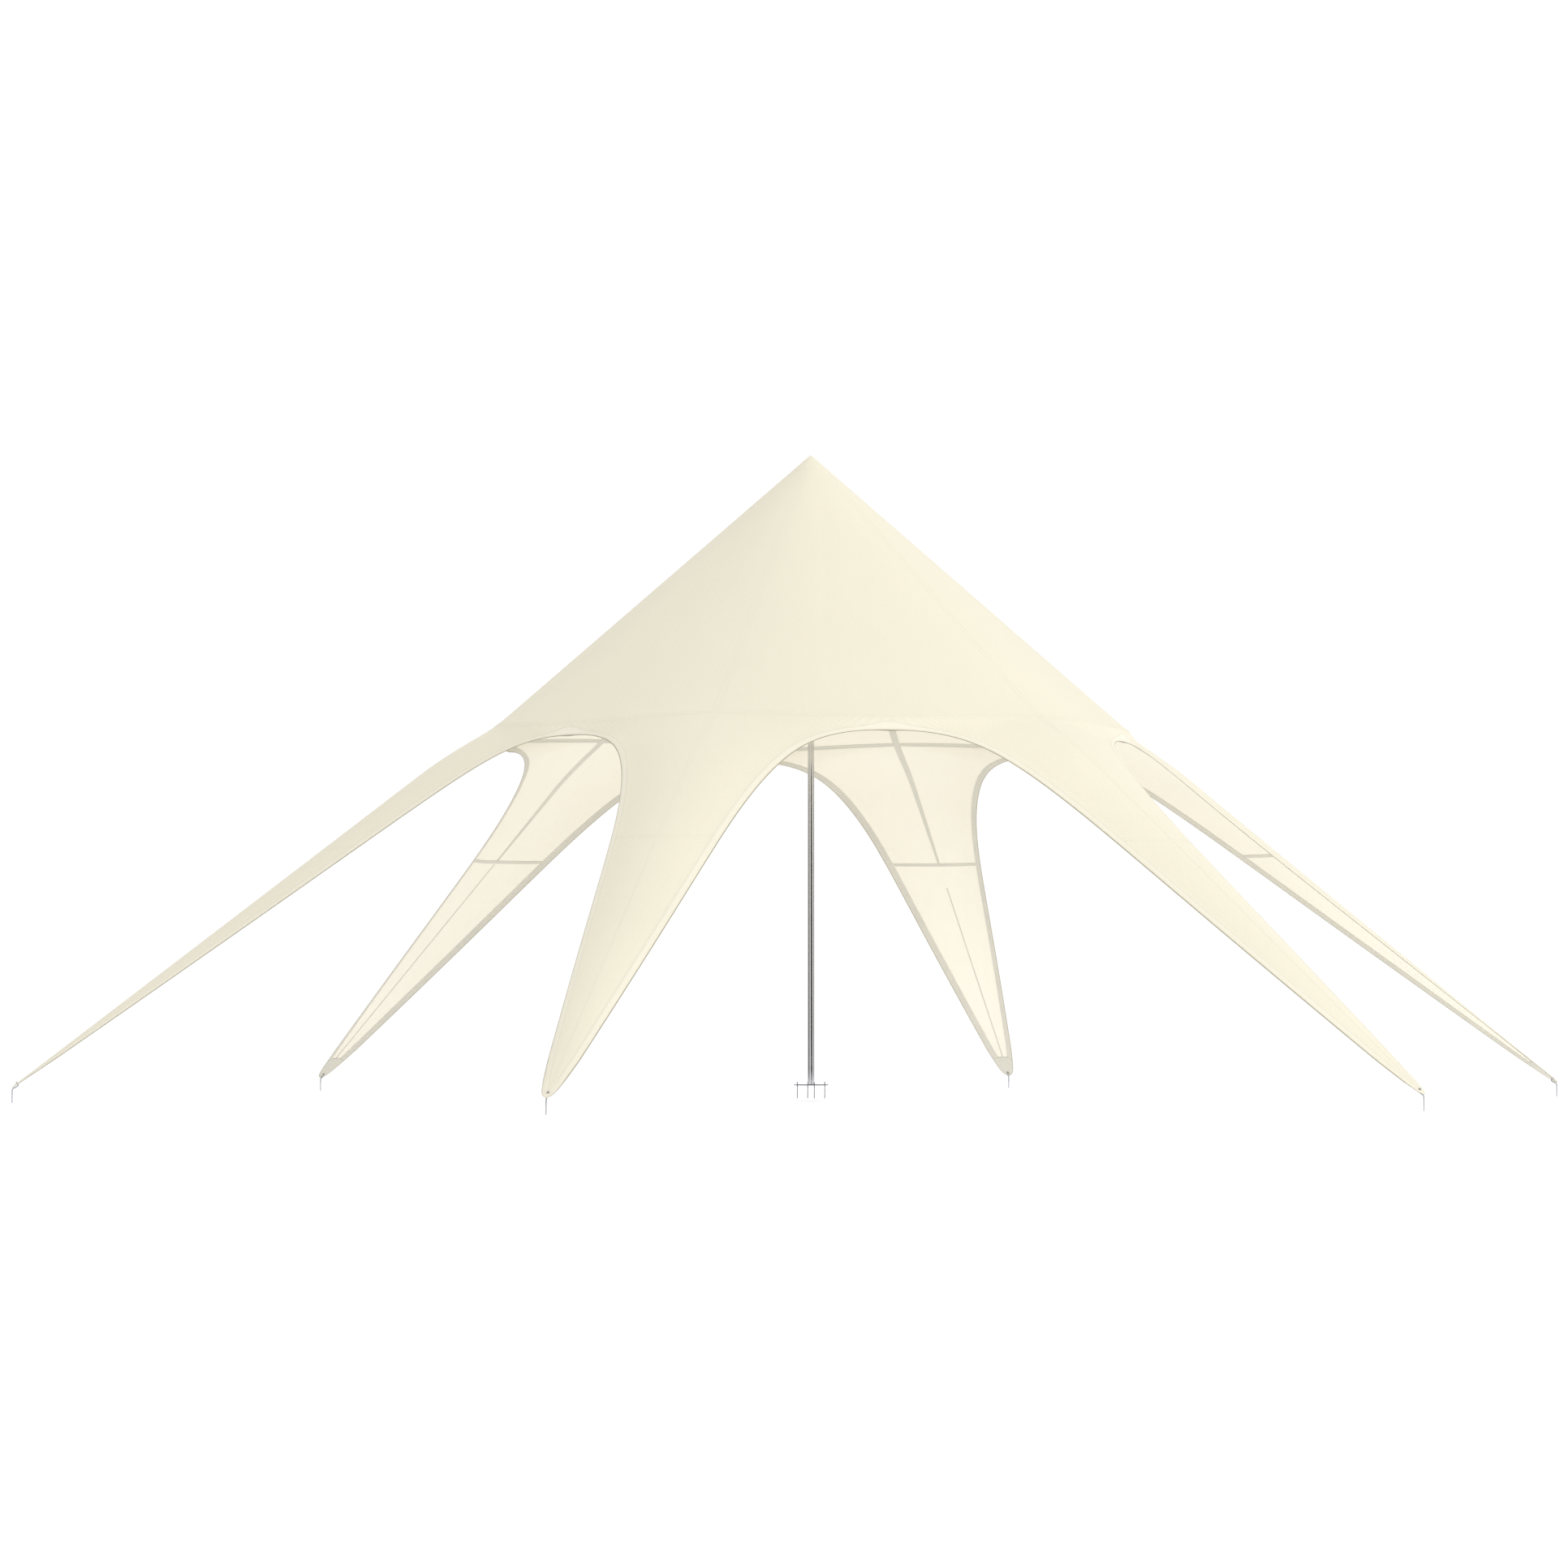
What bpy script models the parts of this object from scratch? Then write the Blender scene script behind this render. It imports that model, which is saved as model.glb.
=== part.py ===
# Star tent: a round tensioned canopy with six arms, held up by one central pole.
#
# The frame has its origin at ground level under the pole, +Z up, and one arm along +X.
# All sizes are metres. The pegs reach below the ground, so below z = 0.

import bmesh
import bpy
from math import cos, hypot, pi, radians, sin, sqrt
from mathutils import Matrix, Vector

# Overall size of the pitched tent
ARMS = 6
TIP_RADIUS = 6.0
APEX_HEIGHT = 4.786
HALF_SECTOR = pi / ARMS

# Fabric and its webbing
CLOTH = 0.004
GAP = 0.0003
HEM_WIDTH = 0.043
HEM_THICKNESS = 0.003

# The crown is a cone down to a round seam, and an arm's ridge runs on from there
CROWN_SLOPE = 0.870
APEX_ROUNDING = 0.008
SEAM_RADIUS = 2.41
SEAM_DIP = 0.039
RIDGE_SLOPE = 0.769
RIDGE_FOOT = 6.0075
RIDGE_BLEND_END = 2.95
RIDGE_BLEND_POWER = 1.5
CAP_RING = 0.035
CAP_RADIUS = 0.15
CROWN_RINGS = (CAP_RADIUS, 0.70, 1.27, 1.84, SEAM_RADIUS)

# Hem of half an arm, from the top of the arch to the tip: along the arm, across it, height
ARCH_RADIUS = 2.427
ARCH_HEIGHT = 2.569
ARCH_HANDLE = 0.205
HEM_CONTROL = [
    Vector((ARCH_RADIUS * cos(HALF_SECTOR), ARCH_RADIUS * sin(HALF_SECTOR), ARCH_HEIGHT)),
    Vector((
        ARCH_RADIUS * cos(HALF_SECTOR) + ARCH_HANDLE * sin(HALF_SECTOR),
        ARCH_RADIUS * sin(HALF_SECTOR) - ARCH_HANDLE * cos(HALF_SECTOR),
        ARCH_HEIGHT,
    )),
    Vector((2.425, 0.689, 2.544)),
    Vector((3.326, 0.376, 1.913)),
    Vector((3.978, 0.356, 1.433)),
    Vector((6.000, 0.056, 0.000)),
]
HEM_KNOTS = (0.0, 0.0, 0.0, 0.0, 0.28, 0.5, 1.0, 1.0, 1.0, 1.0)

# Rows of the fabric along an arm
SEAM_STEPS = 5
CORNER_HEM = 0.24
UPPER_STEPS = 6
CROSS_SEAM = 3.71
LOWER_STEPS = 8
TONGUE_START = 5.92
TONGUE_LENGTH = 0.07
TONGUE_ROWS = (0.45, 0.75, 0.92, 1.0)
TONGUE_END_WIDTH = 0.25
HEM_BAND_END = 5.64

# Eyelet and hook peg of an arm's tip
EYELET_ALONG = 5.962
EYELET_HOLE = 0.0088
EYELET_INNER = 0.0070
EYELET_BARREL = 0.0085
EYELET_FLANGE = 0.0140
EYELET_HALF = 0.0045
PEG_RADIUS = 0.004
PEG_DEPTH = 0.117

# Pole of three plugged tubes, with a plug under the canopy's point
POLE_RADIUS = 0.024
POLE_WALL = 0.0015
POLE_JOINTS = (1.60, 3.20)
SPIGOT_LENGTH = 0.09
PLUG_HEAD = 0.020
PLUG_SPIGOT = 0.040

# Base plate with its four pegs
PLATE_RADIUS = 0.131
PLATE_THICKNESS = 0.006
SOCKET_HEIGHT = 0.12
SOCKET_RADIUS = 0.0219
SOCKET_WALL = 0.003
PLATE_PEG_RADIUS = 0.107
PLATE_PEG_HOLE = 0.0043
PLATE_PEG_HEAD = 0.0065
PLATE_PEG_TOP = 0.026
PLATE_PEG_DEPTH = 0.104


def linear(channel):
    """One sRGB channel, 0 to 1, as Blender's linear value."""
    if channel <= 0.04045:
        return channel / 12.92
    return ((channel + 0.055) / 1.055) ** 2.4


def material(name, colour, roughness, metallic=0.0):
    """A Principled material of this sRGB colour, given as six hex digits."""
    made = bpy.data.materials.new(name)
    made.use_nodes = True
    shader = made.node_tree.nodes["Principled BSDF"]
    channels = [linear(int(colour[i:i + 2], 16) / 255) for i in (0, 2, 4)]
    shader.inputs["Base Color"].default_value = (*channels, 1.0)
    shader.inputs["Roughness"].default_value = roughness
    shader.inputs["Metallic"].default_value = metallic
    return made


def object_from(name, mesh_data, surface, smooth_angle=35.0):
    """Links an object made from a bmesh, shaded smooth except at sharp edges."""
    mesh = bpy.data.meshes.new(name)
    mesh_data.to_mesh(mesh)
    mesh_data.free()
    mesh.shade_smooth()
    mesh.set_sharp_from_angle(angle=radians(smooth_angle))
    mesh.materials.append(surface)
    made = bpy.data.objects.new(name, mesh)
    bpy.context.scene.collection.objects.link(made)
    return made


def turned(name, profile, surface, sides=32, closed=False):
    """A solid of revolution about Z from (radius, height) points, listed from bottom to top."""
    mesh_data = bmesh.new()
    flat_start = not closed and profile[0][0] == 0.0 and profile[0][1] == profile[1][1]
    flat_end = not closed and profile[-1][0] == 0.0 and profile[-1][1] == profile[-2][1]
    outline = profile[int(flat_start):len(profile) - int(flat_end)]
    points = [mesh_data.verts.new((radius, 0.0, height)) for radius, height in outline]
    edges = [mesh_data.edges.new(pair) for pair in zip(points, points[1:])]
    if closed:
        edges.append(mesh_data.edges.new((points[-1], points[0])))
    bmesh.ops.spin(
        mesh_data, geom=points + edges, axis=(0.0, 0.0, 1.0), cent=(0.0, 0.0, 0.0),
        angle=2 * pi, steps=sides, use_merge=True,
    )
    bmesh.ops.remove_doubles(mesh_data, verts=mesh_data.verts, dist=1e-6)
    bmesh.ops.holes_fill(mesh_data, edges=mesh_data.edges, sides=0)
    bmesh.ops.recalc_face_normals(mesh_data, faces=mesh_data.faces)
    return object_from(name, mesh_data, surface)


# Shape of the fabric


def ridge_height(radius):
    """Height of the fabric over an arm's centre line at this distance from the pole."""
    if radius <= SEAM_RADIUS:
        rounding = APEX_ROUNDING * max(0.0, 1.0 - radius / CAP_RING)
        return APEX_HEIGHT - CROWN_SLOPE * radius - rounding
    height = RIDGE_SLOPE * (RIDGE_FOOT - radius)
    if radius < RIDGE_BLEND_END:
        crown_edge = APEX_HEIGHT - CROWN_SLOPE * SEAM_RADIUS
        drop = RIDGE_SLOPE * (RIDGE_FOOT - SEAM_RADIUS) - crown_edge
        share = (RIDGE_BLEND_END - radius) / (RIDGE_BLEND_END - SEAM_RADIUS)
        height -= drop * share ** RIDGE_BLEND_POWER
    return height


def fabric_height(along, across):
    """Height of the crown's surface, carried on over the arm, at a point of the plan."""
    radius = hypot(along, across)
    if radius < 1e-9:
        return ridge_height(0.0)
    turn = Vector((along, across)).angle(Vector((1.0, 0.0))) / HALF_SECTOR
    return ridge_height(radius) - SEAM_DIP * turn ** 2 * radius / SEAM_RADIUS


def hem_point(share):
    """Point of the hem, a cubic B-spline, from the arch's top (0) to the tip (1)."""
    span = 3
    while span < len(HEM_CONTROL) - 1 and share >= HEM_KNOTS[span + 1]:
        span += 1
    points = [HEM_CONTROL[span - 3 + k].copy() for k in range(4)]
    for level in range(1, 4):
        for k in range(3, level - 1, -1):
            low = HEM_KNOTS[span - 3 + k]
            high = HEM_KNOTS[span + 1 + k - level]
            points[k] = points[k - 1].lerp(points[k], (share - low) / (high - low))
    return points[3]


def hem_share_at(along):
    """The share of the hem at which it is this far along the arm."""
    low = 0.0
    high = 1.0
    for _ in range(40):
        middle = (low + high) / 2
        if hem_point(middle).x < along:
            low = middle
        else:
            high = middle
    return low


def arm_rows():
    """Pairs of the row's inner point in plan and its hem point, from the arch to the tip."""
    rows = []
    for step in range(SEAM_STEPS + 1):
        turn = HALF_SECTOR * (1.0 - step / SEAM_STEPS)
        start = Vector((SEAM_RADIUS * cos(turn), SEAM_RADIUS * sin(turn)))
        rows.append((start, hem_point(CORNER_HEM * step / SEAM_STEPS)))
    cross_share = hem_share_at(CROSS_SEAM)
    for step in range(1, UPPER_STEPS + 1):
        done = step / UPPER_STEPS
        start = Vector((SEAM_RADIUS + (CROSS_SEAM - SEAM_RADIUS) * done, 0.0))
        rows.append((start, hem_point(CORNER_HEM + (cross_share - CORNER_HEM) * done)))
    for step in range(1, LOWER_STEPS + 1):
        along = CROSS_SEAM + (TONGUE_START - CROSS_SEAM) * step / LOWER_STEPS
        rows.append((Vector((along, 0.0)), hem_point(hem_share_at(along))))
    edge = rows[-1][1]
    for done in TONGUE_ROWS:
        along = TONGUE_START + TONGUE_LENGTH * done
        width = edge.y * max(sqrt(1.0 - done ** 2), TONGUE_END_WIDTH)
        height = edge.z + (ridge_height(along) - edge.z) * done
        rows.append((Vector((along, 0.0)), Vector((along, width, height))))
    return rows


def arm_point(start, edge, share):
    """Point of the fabric between a row's inner point (0) and the hem (1)."""
    along = start.x + (edge.x - start.x) * share
    across = start.y + (edge.y - start.y) * share
    drop = edge.z - fabric_height(edge.x, edge.y)
    return Vector((along, across, fabric_height(along, across) + drop * share ** 2))


def row_shares(start, edge):
    """Shares across a row: two in the open fabric, the hem band's inner edge, the hem."""
    inner = Vector((start.x, start.y, fabric_height(start.x, start.y)))
    band = max(1.0 - HEM_WIDTH / (edge - inner).length, 0.45)
    return (0.0, band / 3, band * 2 / 3, band, 1.0)


def canopy_surface():
    """The whole canopy as one triangulated sheet, with each face tagged by panel and hem band."""
    sheet = bmesh.new()
    panel = sheet.faces.layers.int.new("panel")
    band = sheet.faces.layers.int.new("band")

    def add(points, panel_number, band_number, turned_round):
        corners = [sheet.verts.new(point) for point in points]
        if turned_round:
            corners.reverse()
        face = sheet.faces.new(corners)
        face[panel] = panel_number
        face[band] = band_number

    rows = arm_rows()
    end_row = SEAM_STEPS + UPPER_STEPS
    for arm in range(ARMS):
        place = Matrix.Rotation(2 * HALF_SECTOR * arm, 3, "Z")
        for side in (1, -1):
            mirror = place @ Matrix.Diagonal((1.0, side, 1.0))
            sector = (arm if side == 1 else arm - 1) % ARMS
            grid = []
            for start, edge in rows:
                shares = row_shares(start, edge)
                grid.append([mirror @ arm_point(start, edge, share) for share in shares])
            for i in range(len(rows) - 1):
                for j in range(4):
                    corners = (grid[i][j], grid[i + 1][j], grid[i + 1][j + 1], grid[i][j + 1])
                    number = ARMS + sector if i < end_row else 2 * ARMS + arm
                    has_band = j == 3 and rows[i + 1][0].x <= HEM_BAND_END + 0.01
                    add(corners, number, sector if has_band else -1, side == -1)
            for ring, outer in zip(CROWN_RINGS, CROWN_RINGS[1:]):
                for step in range(SEAM_STEPS):
                    turns = [HALF_SECTOR * (step + k) / SEAM_STEPS for k in (0, 1)]
                    corners = [
                        mirror @ Vector((r * cos(t), r * sin(t), fabric_height(r * cos(t), r * sin(t))))
                        for r, t in ((ring, turns[0]), (outer, turns[0]), (outer, turns[1]), (ring, turns[1]))
                    ]
                    add(corners, sector, -1, side == -1)
            for step in range(SEAM_STEPS):
                turns = [HALF_SECTOR * (step + k) / SEAM_STEPS for k in (0, 1)]
                rim = [
                    mirror @ Vector((r * cos(t), r * sin(t), fabric_height(r * cos(t), r * sin(t))))
                    for r in (CAP_RING, CAP_RADIUS)
                    for t in turns
                ]
                add((rim[0], rim[2], rim[3], rim[1]), 3 * ARMS, -1, side == -1)
                top = Vector((0.0, 0.0, ridge_height(0.0)))
                add((top, rim[0], rim[1]), 3 * ARMS, -1, side == -1)
    bmesh.ops.remove_doubles(sheet, verts=sheet.verts, dist=1e-4)
    bmesh.ops.triangulate(sheet, faces=sheet.faces, quad_method="SHORT_EDGE")
    sheet.normal_update()
    return sheet


def inward(vertex, chosen):
    """Direction in the sheet from a seam into the chosen faces, for a vertex on that seam."""
    total = Vector()
    for edge in vertex.link_edges:
        inside = [face for face in edge.link_faces if face in chosen]
        if len(inside) == 1 and len(edge.link_faces) == 2:
            run = (edge.verts[1].co - edge.verts[0].co).normalized()
            across = inside[0].calc_center_median() - edge.verts[0].co
            total += (across - run * across.dot(run)).normalized()
    return total.normalized() if total.length > 1e-6 else total


def cloth_solid(name, faces, low, high, surface, seam_gap=GAP):
    """A closed solid between two offsets of some faces of the sheet."""
    chosen = set(faces)
    mesh_data = bmesh.new()
    under = {}
    over = {}
    for vertex in {vertex for face in faces for vertex in face.verts}:
        point = vertex.co + inward(vertex, chosen) * seam_gap * 0.75
        under[vertex] = mesh_data.verts.new(point + vertex.normal * low)
        over[vertex] = mesh_data.verts.new(point + vertex.normal * high)
    for face in faces:
        mesh_data.faces.new([over[vertex] for vertex in face.verts])
        mesh_data.faces.new([under[vertex] for vertex in reversed(face.verts)])
        for loop in face.loops:
            if sum(other in chosen for other in loop.edge.link_faces) == 1:
                first = loop.vert
                second = loop.link_loop_next.vert
                mesh_data.faces.new((under[first], under[second], over[second], over[first]))
    return object_from(name, mesh_data, surface)


def cut_with(target, cutter):
    """Cuts a hidden helper out of a part."""
    cutter.hide_render = True
    cutter.display_type = "WIRE"
    boolean = target.modifiers.new("Hole", "BOOLEAN")
    boolean.operation = "DIFFERENCE"
    boolean.object = cutter


def rod(name, points, surface, tip_radius=0.35):
    """A round rod along a smooth path, from its driven end to its head."""
    curve = bpy.data.curves.new(name, "CURVE")
    curve.dimensions = "3D"
    curve.bevel_depth = PEG_RADIUS
    curve.bevel_resolution = 2
    curve.use_fill_caps = True
    spline = curve.splines.new("POLY")
    spline.points.add(len(points) - 1)
    for index, point in enumerate(points):
        spline.points[index].co = (*point, 1.0)
        spline.points[index].radius = tip_radius if index == 0 else 1.0
    spline.use_smooth = True
    curve.materials.append(surface)
    made = bpy.data.objects.new(name, curve)
    bpy.context.scene.collection.objects.link(made)
    return made


def rounded_path(corners, radius, steps=4):
    """Points along straight runs whose corners are rounded off."""
    path = [corners[0]]
    for before, corner, after in zip(corners, corners[1:], corners[2:]):
        back = (before - corner).normalized() * radius
        on = (after - corner).normalized() * radius
        for step in range(steps + 1):
            share = step / steps
            first = (corner + back).lerp(corner, share)
            second = corner.lerp(corner + on, share)
            path.append(first.lerp(second, share))
    path.append(corners[-1])
    return path


for old in list(bpy.data.objects):
    bpy.data.objects.remove(old, do_unlink=True)

canvas = material("polyester_canvas", "F1EBD6", 0.85)
webbing = material("hem_webbing", "D9D6C6", 0.9)
steel = material("polished_steel", "C9CACB", 0.15, 1.0)
galvanised = material("galvanised_steel", "9FA1A2", 0.45, 1.0)
nickel = material("nickel_plate", "8E8B84", 0.3, 1.0)
plug_plastic = material("plug_plastic", "2A2A2A", 0.5)

# Canopy panels, each its own closed piece sewn to the next along a seam
sheet = canopy_surface()
panel_layer = sheet.faces.layers.int["panel"]
band_layer = sheet.faces.layers.int["band"]
half = CLOTH / 2
arm_ends = []
for number in range(ARMS):
    faces = [face for face in sheet.faces if face[panel_layer] == number]
    cloth_solid(f"crown_gore_{number + 1}", faces, -half, half, canvas)
    faces = [face for face in sheet.faces if face[panel_layer] == ARMS + number]
    cloth_solid(f"arch_gore_{number + 1}", faces, -half, half, canvas)
    faces = [face for face in sheet.faces if face[panel_layer] == 2 * ARMS + number]
    arm_ends.append(cloth_solid(f"arm_end_{number + 1}", faces, -half, half, canvas))
    faces = [face for face in sheet.faces if face[band_layer] == number]
    under = -half - GAP
    cloth_solid(f"hem_band_{number + 1}", faces, under - HEM_THICKNESS, under, webbing, 0.0)
cap_faces = [face for face in sheet.faces if face[panel_layer] == 3 * ARMS]
cloth_solid("apex_cap", cap_faces, -2 * half, half, canvas)
sheet.free()

# Eyelets and hook pegs at the six tips
slope_normal = Vector((RIDGE_SLOPE, 0.0, 1.0)).normalized()
eyelet_centre = Vector((EYELET_ALONG, 0.0, ridge_height(EYELET_ALONG)))
tilt = slope_normal.to_track_quat("Z", "Y").to_matrix().to_4x4()
eyelet_profile = [
    (EYELET_INNER, -EYELET_HALF),
    (EYELET_FLANGE, -EYELET_HALF),
    (EYELET_FLANGE, -EYELET_HALF + 0.001),
    (EYELET_BARREL, -EYELET_HALF + 0.001),
    (EYELET_BARREL, EYELET_HALF - 0.001),
    (EYELET_FLANGE, EYELET_HALF - 0.001),
    (EYELET_FLANGE, EYELET_HALF),
    (EYELET_INNER, EYELET_HALF),
]
hook_line = eyelet_centre + Vector((1.0, 0.0, -RIDGE_SLOPE)).normalized() * (
    EYELET_INNER * cos(pi / 16) - PEG_RADIUS - GAP
)
hook_corners = [
    Vector((TIP_RADIUS, 0.0, -PEG_DEPTH)),
    Vector((TIP_RADIUS, 0.0, -PEG_DEPTH + 0.012)),
    Vector((TIP_RADIUS, 0.0, -0.008)),
    hook_line - slope_normal * 0.020,
    hook_line + slope_normal * 0.016,
]
hook_path = hook_corners[:1] + rounded_path(hook_corners[1:], 0.010)
for number in range(ARMS):
    place = Matrix.Rotation(2 * HALF_SECTOR * number, 4, "Z")
    seat = place @ Matrix.Translation(eyelet_centre) @ tilt
    cutter = turned(
        f"eyelet_cutter_{number + 1}",
        [(0.0, -0.02), (EYELET_HOLE, -0.02), (EYELET_HOLE, 0.02), (0.0, 0.02)],
        canvas, sides=16,
    )
    cutter.matrix_world = seat
    cut_with(arm_ends[number], cutter)
    eyelet = turned(f"tip_eyelet_{number + 1}", eyelet_profile, nickel, sides=16, closed=True)
    eyelet.matrix_world = seat
    peg = rod(f"tip_peg_{number + 1}", hook_path, galvanised)
    peg.matrix_world = place

# Pole: three tubes plugged into each other, a plug on top
tube_inner = POLE_RADIUS - POLE_WALL
spigot_outer = tube_inner - 0.0004
spigot_inner = spigot_outer - POLE_WALL
cap_under_top = ridge_height(0.0) - 2 * half
cap_slope = (ridge_height(0.0) - ridge_height(CAP_RING)) / CAP_RING
cap_under_rim = ridge_height(CAP_RING) - 2 * half * sqrt(1 + cap_slope ** 2)
plug_slope = (cap_under_top - cap_under_rim) / CAP_RING
plug_top = cap_under_top - 2 * GAP
plug_edge = plug_top - plug_slope * POLE_RADIUS
plug_base = plug_edge - PLUG_HEAD
feet = (PLATE_THICKNESS, *POLE_JOINTS)
heads = (*POLE_JOINTS, plug_base)
for number, (foot, head) in enumerate(zip(feet, heads)):
    foot += GAP
    outline = [(tube_inner, foot), (POLE_RADIUS, foot), (POLE_RADIUS, head - (0.0 if number < 2 else GAP))]
    if number < 2:
        outline += [
            (spigot_outer, head),
            (spigot_outer, head + SPIGOT_LENGTH),
            (spigot_inner, head + SPIGOT_LENGTH),
            (spigot_inner, head - 0.004),
            (tube_inner, head - 0.012),
        ]
    else:
        outline.append((tube_inner, head - GAP))
    turned(f"pole_section_{number + 1}", outline, steel, sides=24, closed=True)
turned("pole_plug", [
    (0.0, plug_base - PLUG_SPIGOT),
    (spigot_outer, plug_base - PLUG_SPIGOT),
    (spigot_outer, plug_base),
    (POLE_RADIUS, plug_base),
    (POLE_RADIUS, plug_edge),
    (0.0, plug_top),
], plug_plastic, sides=24)

# Base plate with the socket that the pole stands over, and its four pegs
base_plate = turned("base_plate", [
    (0.0, 0.0),
    (PLATE_RADIUS, 0.0),
    (PLATE_RADIUS, PLATE_THICKNESS),
    (SOCKET_RADIUS, PLATE_THICKNESS),
    (SOCKET_RADIUS, SOCKET_HEIGHT),
    (SOCKET_RADIUS - SOCKET_WALL, SOCKET_HEIGHT),
    (SOCKET_RADIUS - SOCKET_WALL, PLATE_THICKNESS),
    (0.0, PLATE_THICKNESS),
], steel, sides=48)
for number in range(4):
    place = Matrix.Rotation(pi / 2 * number, 4, "Z") @ Matrix.Translation((PLATE_PEG_RADIUS, 0.0, 0.0))
    cutter = turned(
        f"plate_hole_cutter_{number + 1}",
        [(0.0, -0.01), (PLATE_PEG_HOLE, -0.01), (PLATE_PEG_HOLE, 0.02), (0.0, 0.02)],
        steel, sides=12,
    )
    cutter.matrix_world = place
    cut_with(base_plate, cutter)
    peg = turned(f"base_peg_{number + 1}", [
        (0.0, -PLATE_PEG_DEPTH),
        (PEG_RADIUS, -PLATE_PEG_DEPTH + 0.012),
        (PEG_RADIUS, PLATE_PEG_TOP - 0.004),
        (PLATE_PEG_HEAD, PLATE_PEG_TOP - 0.003),
        (PLATE_PEG_HEAD, PLATE_PEG_TOP - 0.001),
        (0.0, PLATE_PEG_TOP),
    ], galvanised, sides=12)
    peg.matrix_world = place
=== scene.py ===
from math import atan2, ceil, cos, degrees, exp, hypot, pi, radians, sin, sqrt

import bmesh
import bpy
from mathutils import Matrix, Vector
from mathutils.bvhtree import BVHTree


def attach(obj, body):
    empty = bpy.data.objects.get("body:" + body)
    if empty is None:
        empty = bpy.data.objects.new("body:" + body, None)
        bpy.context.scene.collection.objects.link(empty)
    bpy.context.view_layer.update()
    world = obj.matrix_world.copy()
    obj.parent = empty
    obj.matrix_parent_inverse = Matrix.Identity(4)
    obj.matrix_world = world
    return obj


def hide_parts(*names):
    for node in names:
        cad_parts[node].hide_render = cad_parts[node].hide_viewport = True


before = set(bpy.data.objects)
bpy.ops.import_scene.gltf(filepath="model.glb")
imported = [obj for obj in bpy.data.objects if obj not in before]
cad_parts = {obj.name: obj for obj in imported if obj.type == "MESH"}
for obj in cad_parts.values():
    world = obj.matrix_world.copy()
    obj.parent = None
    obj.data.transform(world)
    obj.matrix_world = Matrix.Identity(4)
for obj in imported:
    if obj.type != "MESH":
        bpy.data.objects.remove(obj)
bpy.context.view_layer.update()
print("frame loaded,", len(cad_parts), "solids")

body = "root"
arms = 6
armTurn = 2 * pi / arms
halfSector = pi / arms
sharpFrom = 35.0  # degrees between two faces
weldWithin = 1e-6
white = (1.0, 1.0, 1.0, 1.0)
scene = bpy.context.scene


# Helpers

def tone(hexColour):  # sRGB hex to the linear colour that Blender wants
    channels = [int(hexColour[i:i + 2], 16) / 255 for i in (0, 2, 4)]
    return tuple(c / 12.92 if c <= 0.04045 else ((c + 0.055) / 1.055) ** 2.4 for c in channels) + (1.0,)


def startTree(started):  # the nodes that follow go into this tree
    global tree
    tree = started
    tree.nodes.clear()


def addNode(kind, sockets=None, **settings):  # a node, its settings, and its links or values
    made = tree.nodes.new(kind)
    for name, value in settings.items():
        setattr(made, name, value)
    for name, value in (sockets or {}).items():
        if isinstance(value, bpy.types.Node):
            value = value.outputs[0]
        if isinstance(value, bpy.types.NodeSocket):
            tree.links.new(value, made.inputs[name])
        else:
            made.inputs[name].default_value = value
    return made


def maths(operation, *values):
    return addNode("ShaderNodeMath", dict(enumerate(values)), operation=operation)


def spread(value, old, new):  # maps one range of values to another
    return addNode("ShaderNodeMapRange", {0: value, 1: old[0], 2: old[1], 3: new[0], 4: new[1]})


def noise(place, scale, detail, roughness=0.5):
    sockets = {"Vector": place, "Scale": scale, "Detail": detail, "Roughness": roughness}
    return addNode("ShaderNodeTexNoise", sockets)


def axes(vector):
    return addNode("ShaderNodeSeparateXYZ", {0: vector}).outputs


def blend(share, first, second, way="MIX"):  # two colours, from nodes or in hex
    first, second = (tone(colour) if isinstance(colour, str) else colour for colour in (first, second))
    return addNode("ShaderNodeMix", {0: share, 6: first, 7: second}, data_type="RGBA", blend_type=way).outputs[2]


def bumpy(height, strength, distance, **more):
    return addNode("ShaderNodeBump", {"Strength": strength, "Distance": distance, "Height": height, **more})


def newMaterial(name):  # the material, and the place of each point on the object
    made = bpy.data.materials.new(name)
    made.use_nodes = True
    startTree(made.node_tree)
    return made, addNode("ShaderNodeTexCoord").outputs["Object"]


def finished(made, colour, rough, bump, **more):  # most materials end in one plain shader
    sockets = {"Base Color": colour, "Roughness": rough, "Normal": bump, **more}
    addNode("ShaderNodeOutputMaterial", {0: addNode("ShaderNodeBsdfPrincipled", sockets)})
    return made


def smoothMesh(mesh, angle=sharpFrom):
    mesh.shade_smooth()
    mesh.set_sharp_from_angle(angle=radians(angle))


def newObject(name, data):
    made = bpy.data.objects.new(name, data)
    scene.collection.objects.link(made)
    return made


def newMesh(name, source):  # from a bmesh, which is used up
    mesh = bpy.data.meshes.new(name)
    source.to_mesh(mesh)
    source.free()
    return mesh


def newPiece(name, source, material, angle=sharpFrom):  # an object at the origin
    mesh = newMesh(name, source)
    mesh.materials.append(material)
    smoothMesh(mesh, angle)
    return newObject(name, mesh)


def shownMesh(piece):
    bpy.context.view_layer.update()
    return bpy.data.meshes.new_from_object(piece.evaluated_get(bpy.context.evaluated_depsgraph_get()))


def settle(piece):  # what the modifiers show becomes the piece's own mesh
    mesh = shownMesh(piece)
    piece.modifiers.clear()
    piece.data = mesh
    mesh.name = piece.name
    return piece


def runTree(piece, tree, values):  # Geometry Nodes on a piece, inputs set by their identifiers
    modifier = piece.modifiers.new(tree.name, "NODES")
    modifier.node_group = tree
    for item in tree.interface.items_tree:
        if item.in_out == "INPUT" and item.name in values:
            modifier[item.identifier] = values[item.name]


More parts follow.
